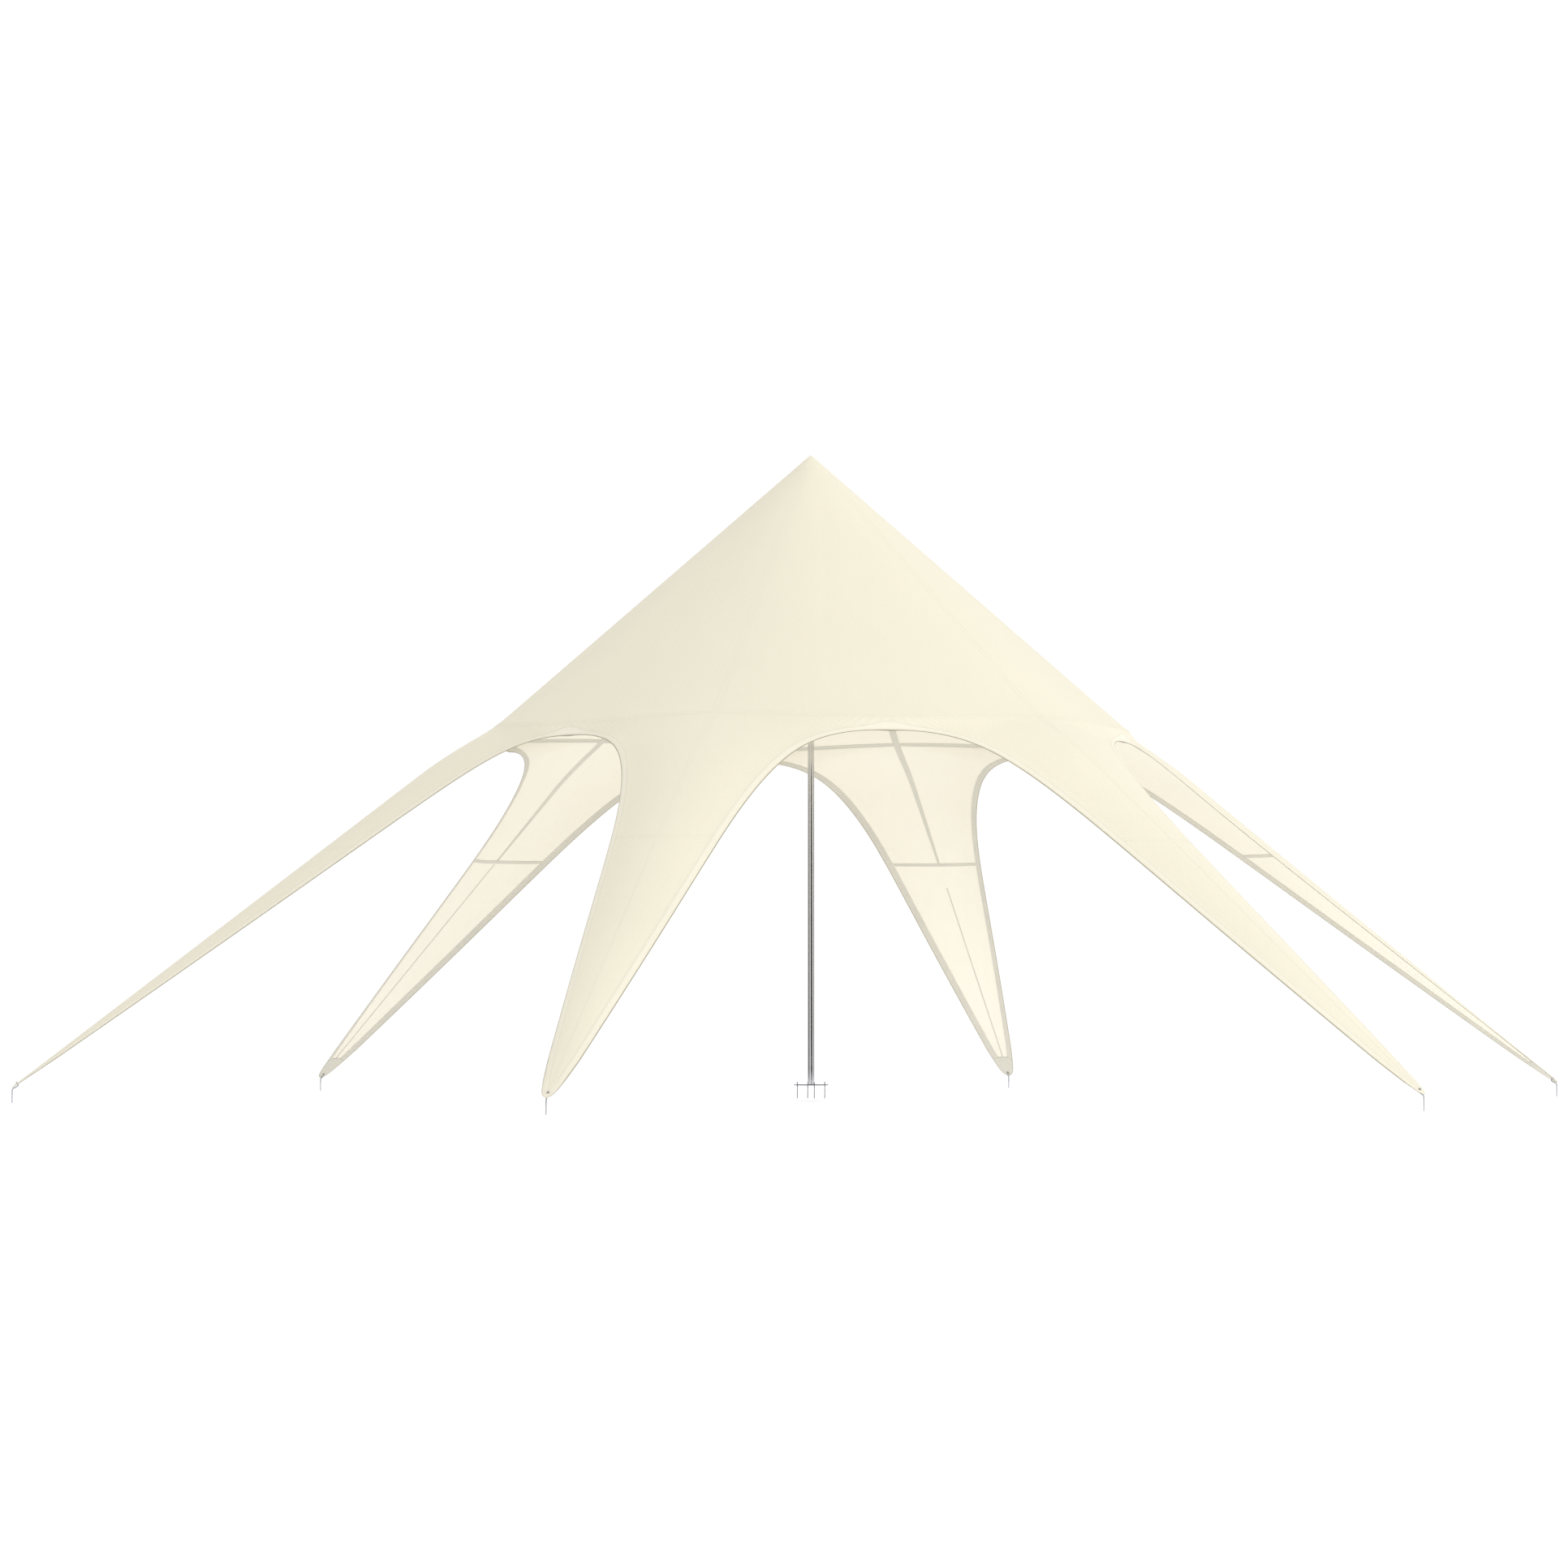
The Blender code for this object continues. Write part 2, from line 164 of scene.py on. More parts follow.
def cutHoles(piece, punch):
    cut = piece.modifiers.new("holes", "BOOLEAN")
    cut.operation = "DIFFERENCE"
    cut.solver = "EXACT"
    cut.object = punch
    settle(piece)
    smoothMesh(piece.data)


def aim(thing, place, target):
    thing.location = place
    thing.rotation_euler = (Vector(target) - thing.location).to_track_quat("-Z", "Y").to_euler()


# Camera and studio

view = {
    "place": (-9.162, -38.436, 0.565),  # low and far away, as in the photograph
    "target": (-0.199, 0.0475, 2.282),
    "lens": 119.7,
    "sensor": 36.0,
    "farthest": 500.0,
}
camera = newObject("camera", bpy.data.cameras.new("camera"))
camera.data.lens = view["lens"]
camera.data.sensor_width = view["sensor"]
camera.data.clip_end = view["farthest"]
aim(camera, view["place"], view["target"])
scene.camera = camera

studio = {
    "floorHeight": -0.121,  # under the points of the pegs, so that they show
    "floorRadius": 11.0,  # past it the white paper goes on, and the pole's foot mirrors the screens
    "floorSides": 128,
    "floorColour": "FBFBFA",
    "floorGlow": 0.235,  # keeps the paper white in the tent's shade
    "glowColour": (0.68, 0.69, 1.0, 1.0),
    "sky": 1.0,
    "paper": 1.02,
    "keyPlace": (27.0, -27.0, 25.0),
    "keyTarget": (0.0, 0.0, 2.0),
    "keySize": 24.0,
    "keyPower": 5550.0,
    "bouncePlace": (0.0, 0.0, -0.11),
    "bounceTarget": (0.0, 0.0, 9.0),
    "bounceSize": 14.0,
    "bouncePower": 118.0,
    "bounceColour": (0.93, 0.955, 1.17),  # a little cool, because the cream cloth warms it
    "screenTop": (0.16, 0.24),  # how high the screens stand, where they fade out
    "screens": (  # azimuth in degrees, brightness
        (-180, 0.28), (-153, 0.28), (-149, 1.0), (-116, 1.0), (-113, 0.01), (-60, 0.01), (-56, 0.7), (10, 0.75),
        (20, 0.10), (48, 0.10), (60, 0.9), (100, 0.9), (112, 0.08), (138, 0.08), (150, 0.28), (180, 0.28),
    ),
}
scene.view_settings.view_transform = "Standard"
scene.view_settings.look = "None"

world = bpy.data.worlds.new("studio")
world.use_nodes = True
startTree(world.node_tree)
way = axes(addNode("ShaderNodeTexCoord").outputs["Generated"])
azimuth = spread(maths("ARCTAN2", way["Y"], way["X"]), (-pi, pi), (0.0, 1.0))
# Dark and grey screens stand low round the studio, and only polished metal shows them
screens = addNode("ShaderNodeValToRGB", {0: azimuth})
ramp = screens.color_ramp
while len(ramp.elements) > 1:
    ramp.elements.remove(ramp.elements[-1])
ramp.elements[0].position = 0.0
for number, (degree, bright) in enumerate(studio["screens"]):
    stop = ramp.elements[0] if number == 0 else ramp.elements.new((degree + 180) / 360)
    stop.color = (bright, bright, bright, 1.0)
low = spread(maths("ABSOLUTE", way["Z"]), studio["screenTop"], (1.0, 0.0))
seen = addNode("ShaderNodeLightPath")
shine = maths("MULTIPLY", low, seen.outputs["Is Glossy Ray"])
sky = blend(shine, white, screens)
light = addNode("ShaderNodeBackground", {"Color": sky, "Strength": studio["sky"]})
paper = addNode("ShaderNodeBackground", {"Color": white, "Strength": studio["paper"]})
both = addNode("ShaderNodeMixShader", {0: seen.outputs["Is Camera Ray"], 1: light, 2: paper})
addNode("ShaderNodeOutputWorld", {0: both})
scene.world = world


def softLight(name, colour):
    lamp = newObject(name + "Light", bpy.data.lights.new(name + "Light", "AREA"))
    lamp.data.shape = "DISK"
    lamp.data.size = studio[name + "Size"]
    lamp.data.energy = studio[name + "Power"]
    lamp.data.color = colour
    lamp.visible_camera = False
    lamp.visible_glossy = False
    aim(lamp, studio[name + "Place"], studio[name + "Target"])


softLight("key", white[:3])
softLight("bounce", studio["bounceColour"])

floorPaint, _ = newMaterial("mattePaperFloor")
shader = addNode("ShaderNodeBsdfPrincipled", {
    "Base Color": tone(studio["floorColour"]), "Roughness": 1.0, "Specular IOR Level": 0.0,
    "Emission Color": studio["glowColour"], "Emission Strength": studio["floorGlow"],
})
addNode("ShaderNodeOutputMaterial", {0: shader})
disc = bmesh.new()
bmesh.ops.create_circle(
    disc, cap_ends=True, radius=studio["floorRadius"], segments=studio["floorSides"],
    matrix=Matrix.Translation((0, 0, studio["floorHeight"])),
)
newPiece("studioFloor", disc, floorPaint)
print("camera and studio ready")


# Materials

clothFinish = {
    "warp": "EBE6D2",
    "weft": "E8E2CC",
    "hem": "EDE8D5",
    "dust": "C9C3AF",
    "threadPitch": 0.012,  # real threads lie 0.6 mm apart; drawn at 12 mm, or they would not show on a 12 m tent
    "threadRelief": 0.0004,
    "letsThrough": 0.07,
    "hemEdge": (0.0455, 0.0405),
    "foldAt": 0.043,
    "foldWidth": (0.001, 0.0045),
    "foldShade": 0.90,
    "slubs": (60.0, 6.0, 1.0),  # short along the warp, long along the weft
    "cloudScale": 0.8,
    "grimeScale": 9.0,
    "grimeWidth": (0.008, 0.0),
    "dustHeight": (0.5, 0.0),
}
noiseSpan = (0.3, 0.7)  # where most of a noise pattern's values lie


def makeCanvas():  # polyester oxford, woven and dyed cream: matt, faintly checked, lets daylight glow through
    made, place = newMaterial("polyesterOxford")
    weave = addNode("ShaderNodeUVMap", uv_map="weaveUv")
    fromHem = axes(addNode("ShaderNodeUVMap", uv_map="hemUv"))["Y"]
    count = 1 / clothFinish["threadPitch"]
    threads = addNode("ShaderNodeVectorMath", {"Vector": weave, "Scale": count}, operation="SCALE")
    warp, weft = tone(clothFinish["warp"]), tone(clothFinish["weft"])
    checks = addNode("ShaderNodeTexChecker", {"Vector": threads, "Color1": warp, "Color2": weft, "Scale": 1.0})
    rounds = [maths("SINE", maths("MULTIPLY", axis, pi)) for axis in axes(threads)[:2]]
    pillow = maths("ABSOLUTE", maths("MULTIPLY", *rounds))
    # Slubs: thicker lengths of yarn, stretched along the threads
    stretch = addNode("ShaderNodeMapping", {"Vector": weave, "Scale": clothFinish["slubs"]})
    slub = noise(stretch, 1.0, 3.0)
    # Dye lots and handling: very slow changes over metres
    cloud = noise(place, clothFinish["cloudScale"], 4.0, 0.55)
    lots = spread(cloud, noiseSpan, (0.975, 1.0))
    shade = maths("MULTIPLY", lots, spread(slub, noiseSpan, (0.985, 1.0)))
    # The hem is folded double, so it looks a little lighter
    inHem = spread(fromHem, clothFinish["hemEdge"], (0.0, 1.0))
    woven = blend(inHem, checks, clothFinish["hem"])
    # A shallow shadow lies in the stitched fold at the hem's inner edge
    foldWay = maths("ABSOLUTE", maths("SUBTRACT", fromHem, clothFinish["foldAt"]))
    fold = spread(foldWay, clothFinish["foldWidth"], (clothFinish["foldShade"], 1.0))
    shaded = blend(1.0, woven, maths("MULTIPLY", shade, fold), "MULTIPLY")
    # Handling grime at the hem's edge, and dust off the ground on the lowest part of each arm
    grime = noise(place, clothFinish["grimeScale"], 5.0, 0.6)
    edge = spread(fromHem, clothFinish["grimeWidth"], (0.0, 0.45))
    worn = maths("ADD", edge, spread(axes(place)["Z"], clothFinish["dustHeight"], (0.0, 0.3)))
    colour = blend(maths("MULTIPLY", worn, grime), shaded, clothFinish["dust"])
    relief = maths("MULTIPLY_ADD", slub, 0.5, pillow)
    bump = bumpy(relief, 0.3, clothFinish["threadRelief"], **{"Filter Width": 1.0})
    face = addNode("ShaderNodeBsdfPrincipled", {
        "Base Color": colour, "Roughness": spread(slub, noiseSpan, (0.72, 0.86)), "Normal": bump,
        "IOR": 1.5, "Specular IOR Level": 0.25, "Sheen Weight": 0.12, "Sheen Roughness": 0.5,
    })
    glow = addNode("ShaderNodeBsdfTranslucent", {"Color": colour, "Normal": bump})
    skin = addNode("ShaderNodeMixShader", {0: clothFinish["letsThrough"], 1: face, 2: glow})
    addNode("ShaderNodeOutputMaterial", {0: skin})
    return made


webbingFinish = {
    "rib": "CECAB8",
    "grooveShade": "BAB6A2",
    "selvedge": "9C967E",
    "selvedgeFrom": (0.0, -0.0015),
    "ribPitch": 0.006,  # real ribs are 1.5 mm apart; drawn at 6 mm so that they show
    "ribRelief": 0.0006,
    "fluffScale": 70.0,
    "stainScale": 2.5,
}


def makeWebbing():  # polypropylene webbing, woven with ribs across it: dull, greyer than the cloth
    made, place = newMaterial("ribbedWebbing")
    run = axes(addNode("ShaderNodeUVMap", uv_map="tapeUv"))
    wave = maths("SINE", maths("MULTIPLY", run["X"], pi / webbingFinish["ribPitch"]))
    rib = maths("ABSOLUTE", wave)
    fluff = noise(place, webbingFinish["fluffScale"], 3.0)
    stain = noise(place, webbingFinish["stainScale"], 3.0)
    # The grooves between the ribs are painted darker than the ribs: painted shade in the grooves
    ribbed = blend(rib, webbingFinish["grooveShade"], webbingFinish["rib"])
    stained = spread(stain, noiseSpan, (0.94, 1.0))
    shade = maths("MULTIPLY", stained, spread(fluff, noiseSpan, (0.95, 1.0)))
    ribbed = blend(1.0, ribbed, shade, "MULTIPLY")
    # The dense edge of the hem's webbing sticks out past the cloth and is drawn darker, as a dark line along the hem
    atEdge = spread(run["Y"], webbingFinish["selvedgeFrom"], (0.0, 0.85))
    colour = blend(atEdge, ribbed, webbingFinish["selvedge"])
    bump = bumpy(maths("MULTIPLY_ADD", fluff, 0.4, rib), 0.6, webbingFinish["ribRelief"])
    rough = spread(fluff, noiseSpan, (0.78, 0.92))
    return finished(made, colour, rough, bump, **{"IOR": 1.49, "Specular IOR Level": 0.3, "Sheen Weight": 0.1})


def makeThread():  # bonded polyester sewing thread, two plies twisted: slightly glossier than the cloth
    made, place = newMaterial("bondedThread")
    wave = {"Vector": place, "Scale": 90.0, "Distortion": 1.5}
    twist = addNode("ShaderNodeTexWave", wave, bands_direction="DIAGONAL").outputs[1]
    # Along the twist the grooves between the plies are painted darker: painted shade
    colour = blend(twist, "D9D4C0", "E8E3D0")
    rough = spread(twist, (0.0, 1.0), (0.45, 0.6))
    return finished(made, colour, rough, bumpy(twist, 0.4, 0.0003), IOR=1.5)


def makePolishedSteel():  # drawn stainless tube, polished bright: mirror-like, with fine lines along it
    made, place = newMaterial("polishedStainless")
    stretch = addNode("ShaderNodeMapping", {"Vector": place, "Scale": (900.0, 900.0, 3.0)})
    lines = noise(stretch, 1.0, 2.0)
    smear = noise(place, 11.0, 4.0)
    colour = blend(lines, "CDCDCE", "DCDCDD")
    rough = spread(maths("MULTIPLY", lines, smear), (0.1, 0.5), (0.04, 0.12))
    return finished(made, colour, rough, bumpy(lines, 0.05, 0.0001), Metallic=1.0)


def makeGalvanised():  # hot-dip zinc on steel rod: pale grey crystals, each with its own brightness
    made, place = newMaterial("hotDipZinc")
    spangle = addNode("ShaderNodeTexVoronoi", {"Vector": place, "Scale": 160.0})  # crystals about 6 mm across
    crystal = addNode("ShaderNodeSeparateColor", {0: spangle.outputs["Color"]})
    wear = noise(place, 45.0, 4.0)
    worn = spread(wear, (0.55, 0.75), (0.0, 0.5))
    colour = blend(worn, blend(crystal, "8F9192", "B9BBBB"), "6F6E6A")
    rough = spread(crystal.outputs[1], (0.0, 1.0), (0.32, 0.55))
    return finished(made, colour, rough, bumpy(wear, 0.25, 0.0002), Metallic=1.0)


def speckled(name, marks, colours, rough, grain, relief, **more):  # marks in colour and gloss, a grain in the relief
    made, place = newMaterial(name)
    seen = noise(place, *marks)
    bump = bumpy(noise(place, *grain), *relief)
    return finished(made, blend(seen, *colours), spread(seen, noiseSpan, rough), bump, **more)


canvas = makeCanvas()
webbing = makeWebbing()
thread = makeThread()
polished = makePolishedSteel()
zinc = makeGalvanised()
# Hot-rolled steel plate, oiled and blackened: dark, with a dull uneven shine
plateSteel = speckled(
    "blackenedSteelPlate", (35.0, 6.0, 0.6), ("4A4B4C", "77787A"), (0.34, 0.55), (600.0, 2.0), (0.2, 0.0003),
    Metallic=1.0,
)
# Nickel on pressed brass: warm grey and shiny, with a little rubbing
nickel = speckled(
    "nickelPlatedBrass", (220.0, 4.0), ("B9B5AB", "D9D5CA"), (0.18, 0.36), (220.0, 4.0), (0.1, 0.0001), Metallic=1.0,
)
# Black moulded polypropylene: soft gloss over a fine mould grain
plastic = speckled(
    "mouldedPolypropylene", (60.0, 4.0), ("202021", "343435"), (0.42, 0.6), (900.0, 2.0), (0.3, 0.0002), IOR=1.49,
)
print("materials ready")


# Node trees for what repeats

def newTree(name, inputs):  # name, kind of socket and starting value of each input
    made = bpy.data.node_groups.new(name, "GeometryNodeTree")
    made.interface.new_socket("Geometry", in_out="INPUT", socket_type="NodeSocketGeometry")
    for label, kind, value in inputs:
        socket = made.interface.new_socket(label, in_out="INPUT", socket_type="NodeSocket" + kind)
        if value is not None:
            socket.default_value = value
    made.interface.new_socket("Geometry", in_out="OUTPUT", socket_type="NodeSocketGeometry")
    startTree(made)
    return made, addNode("NodeGroupInput").outputs


def endTree(copies, material):  # the copies become real geometry in this material
    real = addNode("GeometryNodeRealizeInstances", {0: copies})
    coated = addNode("GeometryNodeSetMaterial", {"Geometry": real, "Material": material})
    addNode("NodeGroupOutput", {0: coated})


# Stitches along every edge of a mesh of lines
stitchTree, given = newTree("stitchRow", [
    ("Pitch", "Float", 0.02), ("Stitch Length", "Float", 0.014), ("Thread", "Float", 0.0012), ("Seed", "Int", 7),
    ("Material", "Material", None),
])
row = addNode("GeometryNodeMeshToCurve", {0: given["Geometry"]})
spots = addNode("GeometryNodeResampleCurve", {"Curve": row, "Length": given["Pitch"]}, mode="LENGTH")
bead = addNode("GeometryNodeMeshIcoSphere", {"Radius": 1.0, "Subdivisions": 1})
long = maths("MULTIPLY", given["Stitch Length"], 0.5)
size = addNode("ShaderNodeCombineXYZ", {0: given["Thread"], 1: given["Thread"], 2: long})
smooth = addNode("GeometryNodeSetShadeSmooth", {0: bead})
stitch = addNode("GeometryNodeTransform", {"Geometry": smooth, "Scale": size})
tangent = addNode("GeometryNodeInputTangent")
lie = addNode("FunctionNodeAlignRotationToVector", {"Vector": tangent}, axis="Z")
vary = addNode("FunctionNodeRandomValue", {2: 0.92, 3: 1.08, "Seed": given["Seed"]}, data_type="FLOAT")
sewn = addNode("GeometryNodeInstanceOnPoints", {
    "Points": spots, "Instance": stitch, "Rotation": lie, "Scale": vary.outputs[1],
})
endTree(sewn, given["Material"])

# Copies of one thing round the pole
ringTree, given = newTree("roundThePole", [
    ("Count", "Int", arms), ("First", "Float", 0.0), ("Step", "Float", armTurn), ("Material", "Material", None),
])
spots = addNode("GeometryNodePoints", {"Count": given["Count"]})
number = addNode("GeometryNodeInputIndex")
angle = maths("MULTIPLY_ADD", number, given["Step"], given["First"])
turned = addNode("FunctionNodeEulerToRotation", {0: addNode("ShaderNodeCombineXYZ", {2: angle})})
copies = addNode("GeometryNodeInstanceOnPoints", {
    "Points": spots, "Instance": given["Geometry"], "Rotation": turned,
})
endTree(copies, given["Material"])


def ringOf(piece, material, count=arms, first=0.0, step=armTurn):
    runTree(piece, ringTree, {"Count": count, "First": first, "Step": step, "Material": material})
    return settle(piece)


# Shape of the canopy, in the same numbers as the solids

cloth = {
    "thickness": 0.0016,  # the real cloth is 0.5 mm; thicker here so that its two faces stay apart
    "apexHeight": 4.786,
    "apexSoftness": 0.005,
    "apexRings": (0.0, 0.006, 0.013, 0.022, 0.035, 0.055, 0.08, 0.11, 0.148, 0.152),
    "crownSlope": 0.870,
    "seamRadius": 2.41,
    "seamDip": 0.039,
    "seamSoftness": 0.10,
    "ridgeSlope": 0.769,
    "ridgeFoot": 6.0075,
    "armSlant": 1.27,  # length on the arm for each metre in plan
    "blendEnd": 2.95,
    "blendPower": 1.5,
    "crossSeam": 3.71,
    "cornerHem": 0.24,
    "tongueStart": 5.66,
    "tongueLength": 0.343,
    "tongueRows": (
        0.1, 0.2, 0.3, 0.4, 0.49, 0.57, 0.64, 0.70, 0.755, 0.805, 0.85, 0.89, 0.925, 0.953, 0.975, 0.99, 0.998, 1.0,
    ),
    "tongueTaper": 0.6,
    "tongueRound": 9,  # the higher, the later the end turns round
    "tongueEnd": 0.05,
    "capRadius": 0.15,
    "crownRings": 44,
    "seamSteps": 26,
    "upperSteps": 22,
    "lowerSteps": 42,
    "fieldSteps": 9,
    "hemWidth": 0.043,
    "hemLift": 0.001,
    "hemShare": 0.55,  # no more than this of a narrow row
    "tapeReach": 0.006,
    "mergeWithin": 2e-5,
    "halvings": 40,
    "creaseDepth": 0.003,
    "creaseWidth": 0.04,
    "creaseFade": (0.3, 0.2),  # at its upper and lower end
}
crownSlope, ridgeSlope, seamRadius = (cloth[name] for name in ("crownSlope", "ridgeSlope", "seamRadius"))
crossSeam, tongueStart, tongueLength = (cloth[name] for name in ("crossSeam", "tongueStart", "tongueLength"))
archTop = (2.427, 2.569)  # distance from the pole, height
archHandle = 0.205


def archPoint(handle):  # level with the arch's top, this far to its side
    along = archTop[0] * cos(halfSector) + handle * sin(halfSector)
    across = archTop[0] * sin(halfSector) - handle * cos(halfSector)
    return Vector((along, across, archTop[1]))


hemControl = [
    archPoint(0.0),
    archPoint(archHandle),
    Vector((2.425, 0.689, 2.544)),
    Vector((3.326, 0.376, 1.913)),
    Vector((3.978, 0.356, 1.433)),
    Vector((6.000, 0.056, 0.000)),
]
hemKnots = (0.0, 0.0, 0.0, 0.0, 0.28, 0.5, 1.0, 1.0, 1.0, 1.0)
hemDegree = 3
# Distance in from the hem, and share of the lift over the tape
hemColumns = [(0.045, 0.0), (0.041, 1.0), (0.022, 1.0), (0.0015, 1.0), (0.0, 0.5), (-cloth["tapeReach"], 0.0)]
# Distance from the pole, azimuth in degrees
creaseLine = [(0.29, 268.4), (0.9, 262.6), (1.53, 260.3), (1.99, 261.0), (2.45, 261.3)]
# What a face of the sheet belongs to
plainCloth, overTape, onlyTape, capCloth = range(4)


def between(first, last, count):
    return [first + (last - first) * i / count for i in range(count + 1)]


def ridgeHeight(radius):
    drop = ridgeSlope * (cloth["ridgeFoot"] - seamRadius) - (cloth["apexHeight"] - crownSlope * seamRadius)
    reach = cloth["blendEnd"] - seamRadius
    if radius <= seamRadius:
        height = cloth["apexHeight"] - crownSlope * hypot(radius, cloth["apexSoftness"])
    else:
        height = ridgeSlope * (cloth["ridgeFoot"] - radius)
        if radius < cloth["blendEnd"]:
            height -= drop * ((cloth["blendEnd"] - radius) / reach) ** cloth["blendPower"]
    # The tight cloth turns gently at the round seam
    turnBack = crownSlope - ridgeSlope + drop * cloth["blendPower"] / reach
    away = min(1.0, abs(radius - seamRadius) / cloth["seamSoftness"])
    return height + turnBack * cloth["seamSoftness"] * (1 - away) ** 2 / 4


def clothHeight(along, across):
    radius = hypot(along, across)
    turn = atan2(abs(across), along) / halfSector if radius > 1e-9 else 0.0
    return ridgeHeight(radius) - cloth["seamDip"] * (1 - cos(pi * turn)) / 2 * radius / seamRadius


def hemPoint(share):  # the hem of half an arm, from the arch's top (0) to the tip (1)
    span = hemDegree
    while span < len(hemControl) - 1 and share >= hemKnots[span + 1]:
        span += 1
    points = [hemControl[span - hemDegree + k].copy() for k in range(hemDegree + 1)]
    for level in range(1, hemDegree + 1):
        for k in range(hemDegree, level - 1, -1):
            first = hemKnots[span - hemDegree + k]
            last = hemKnots[span + 1 + k - level]
            points[k] = points[k - 1].lerp(points[k], (share - first) / (last - first))
    return points[-1]


def hemShareAt(along):
    low, high = 0.0, 1.0
    for _ in range(cloth["halvings"]):
        share = (low + high) / 2
        if hemPoint(share).x < along:
            low = share
        else:
            high = share
    return low


def tongueShare(done):  # how wide the tongue is, from its start (0) to its rounded end (1)
    rounded = sqrt(max(0.0, 1 - done ** cloth["tongueRound"]))
    return max((1 - cloth["tongueTaper"] * done) * rounded, cloth["tongueEnd"])


def armRows():  # each row's inner point in plan, and its point on the hem
    rows = []
    corner = cloth["cornerHem"]
    for step in range(cloth["seamSteps"] + 1):
        turn = halfSector * (1 - step / cloth["seamSteps"])
        start = Vector((seamRadius * cos(turn), seamRadius * sin(turn)))
        rows.append((start, hemPoint(corner * step / cloth["seamSteps"])))
    crossShare = hemShareAt(crossSeam)
    for step in range(1, cloth["upperSteps"] + 1):
        done = step / cloth["upperSteps"]
        start = Vector((seamRadius + (crossSeam - seamRadius) * done, 0.0))
        rows.append((start, hemPoint(corner + (crossShare - corner) * done)))
    for along in between(crossSeam, tongueStart, cloth["lowerSteps"])[1:]:
        rows.append((Vector((along, 0.0)), hemPoint(hemShareAt(along))))
    edge = rows[-1][1]
    droop = edge.z - ridgeHeight(tongueStart)
    for done in cloth["tongueRows"]:
        along = tongueStart + tongueLength * done
        height = ridgeHeight(along) + droop * (1 - done)
        rows.append((Vector((along, 0.0)), Vector((along, edge.y * tongueShare(done), height))))
    return rows


def armPoint(start, edge, share):
    along = start.x + (edge.x - start.x) * share
    across = start.y + (edge.y - start.y) * share
    drop = edge.z - clothHeight(edge.x, edge.y)
    return Vector((along, across, clothHeight(along, across) + drop * share ** 2))


def rowLength(start, edge):
    return (edge - Vector((start.x, start.y, clothHeight(start.x, start.y)))).length


def shareFromHem(start, edge, distance):  # narrow rows squeeze the hem's widths
    length = rowLength(start, edge)
    return 1 - distance * min(1.0, cloth["hemShare"] * length / hemColumns[0][0]) / length


def halfArm():  # rows of corners: a point, its lift and its place along and in from the hem
    rows = armRows()
    runs = [0.0]
    for before, after in zip(rows, rows[1:]):
        runs.append(runs[-1] + (after[1] - before[1]).length)
    field = cloth["fieldSteps"]
    lines = []
    for (start, edge), run in zip(rows, runs):
        hemStart = shareFromHem(start, edge, hemColumns[0][0])
        shares = [(hemStart * i / field, 0.0) for i in range(field)]
        shares += [(shareFromHem(start, edge, distance), up) for distance, up in hemColumns]
        length = rowLength(start, edge)
        lines.append([(armPoint(start, edge, share), up, (run, (1 - share) * length)) for share, up in shares])
    return lines


def pressCrease(sheet):  # one faint crease runs down the front of the crown
    for vertex in sheet.verts:
        radius = hypot(vertex.co.x, vertex.co.y)
        if not creaseLine[0][0] < radius < seamRadius:
            continue
        for (near, first), (far, last) in zip(creaseLine, creaseLine[1:]):
            if near <= radius <= far:
                azimuth = first + (last - first) * (radius - near) / (far - near)
                off = radians((degrees(atan2(vertex.co.y, vertex.co.x)) - azimuth + 180) % 360 - 180) * radius
                upper = (radius - creaseLine[0][0]) / cloth["creaseFade"][0]
                lower = (seamRadius - radius) / cloth["creaseFade"][1]
                fade = min(1.0, upper, lower)
                vertex.co -= vertex.normal * cloth["creaseDepth"] * fade * exp(-(off / cloth["creaseWidth"]) ** 2)
                break


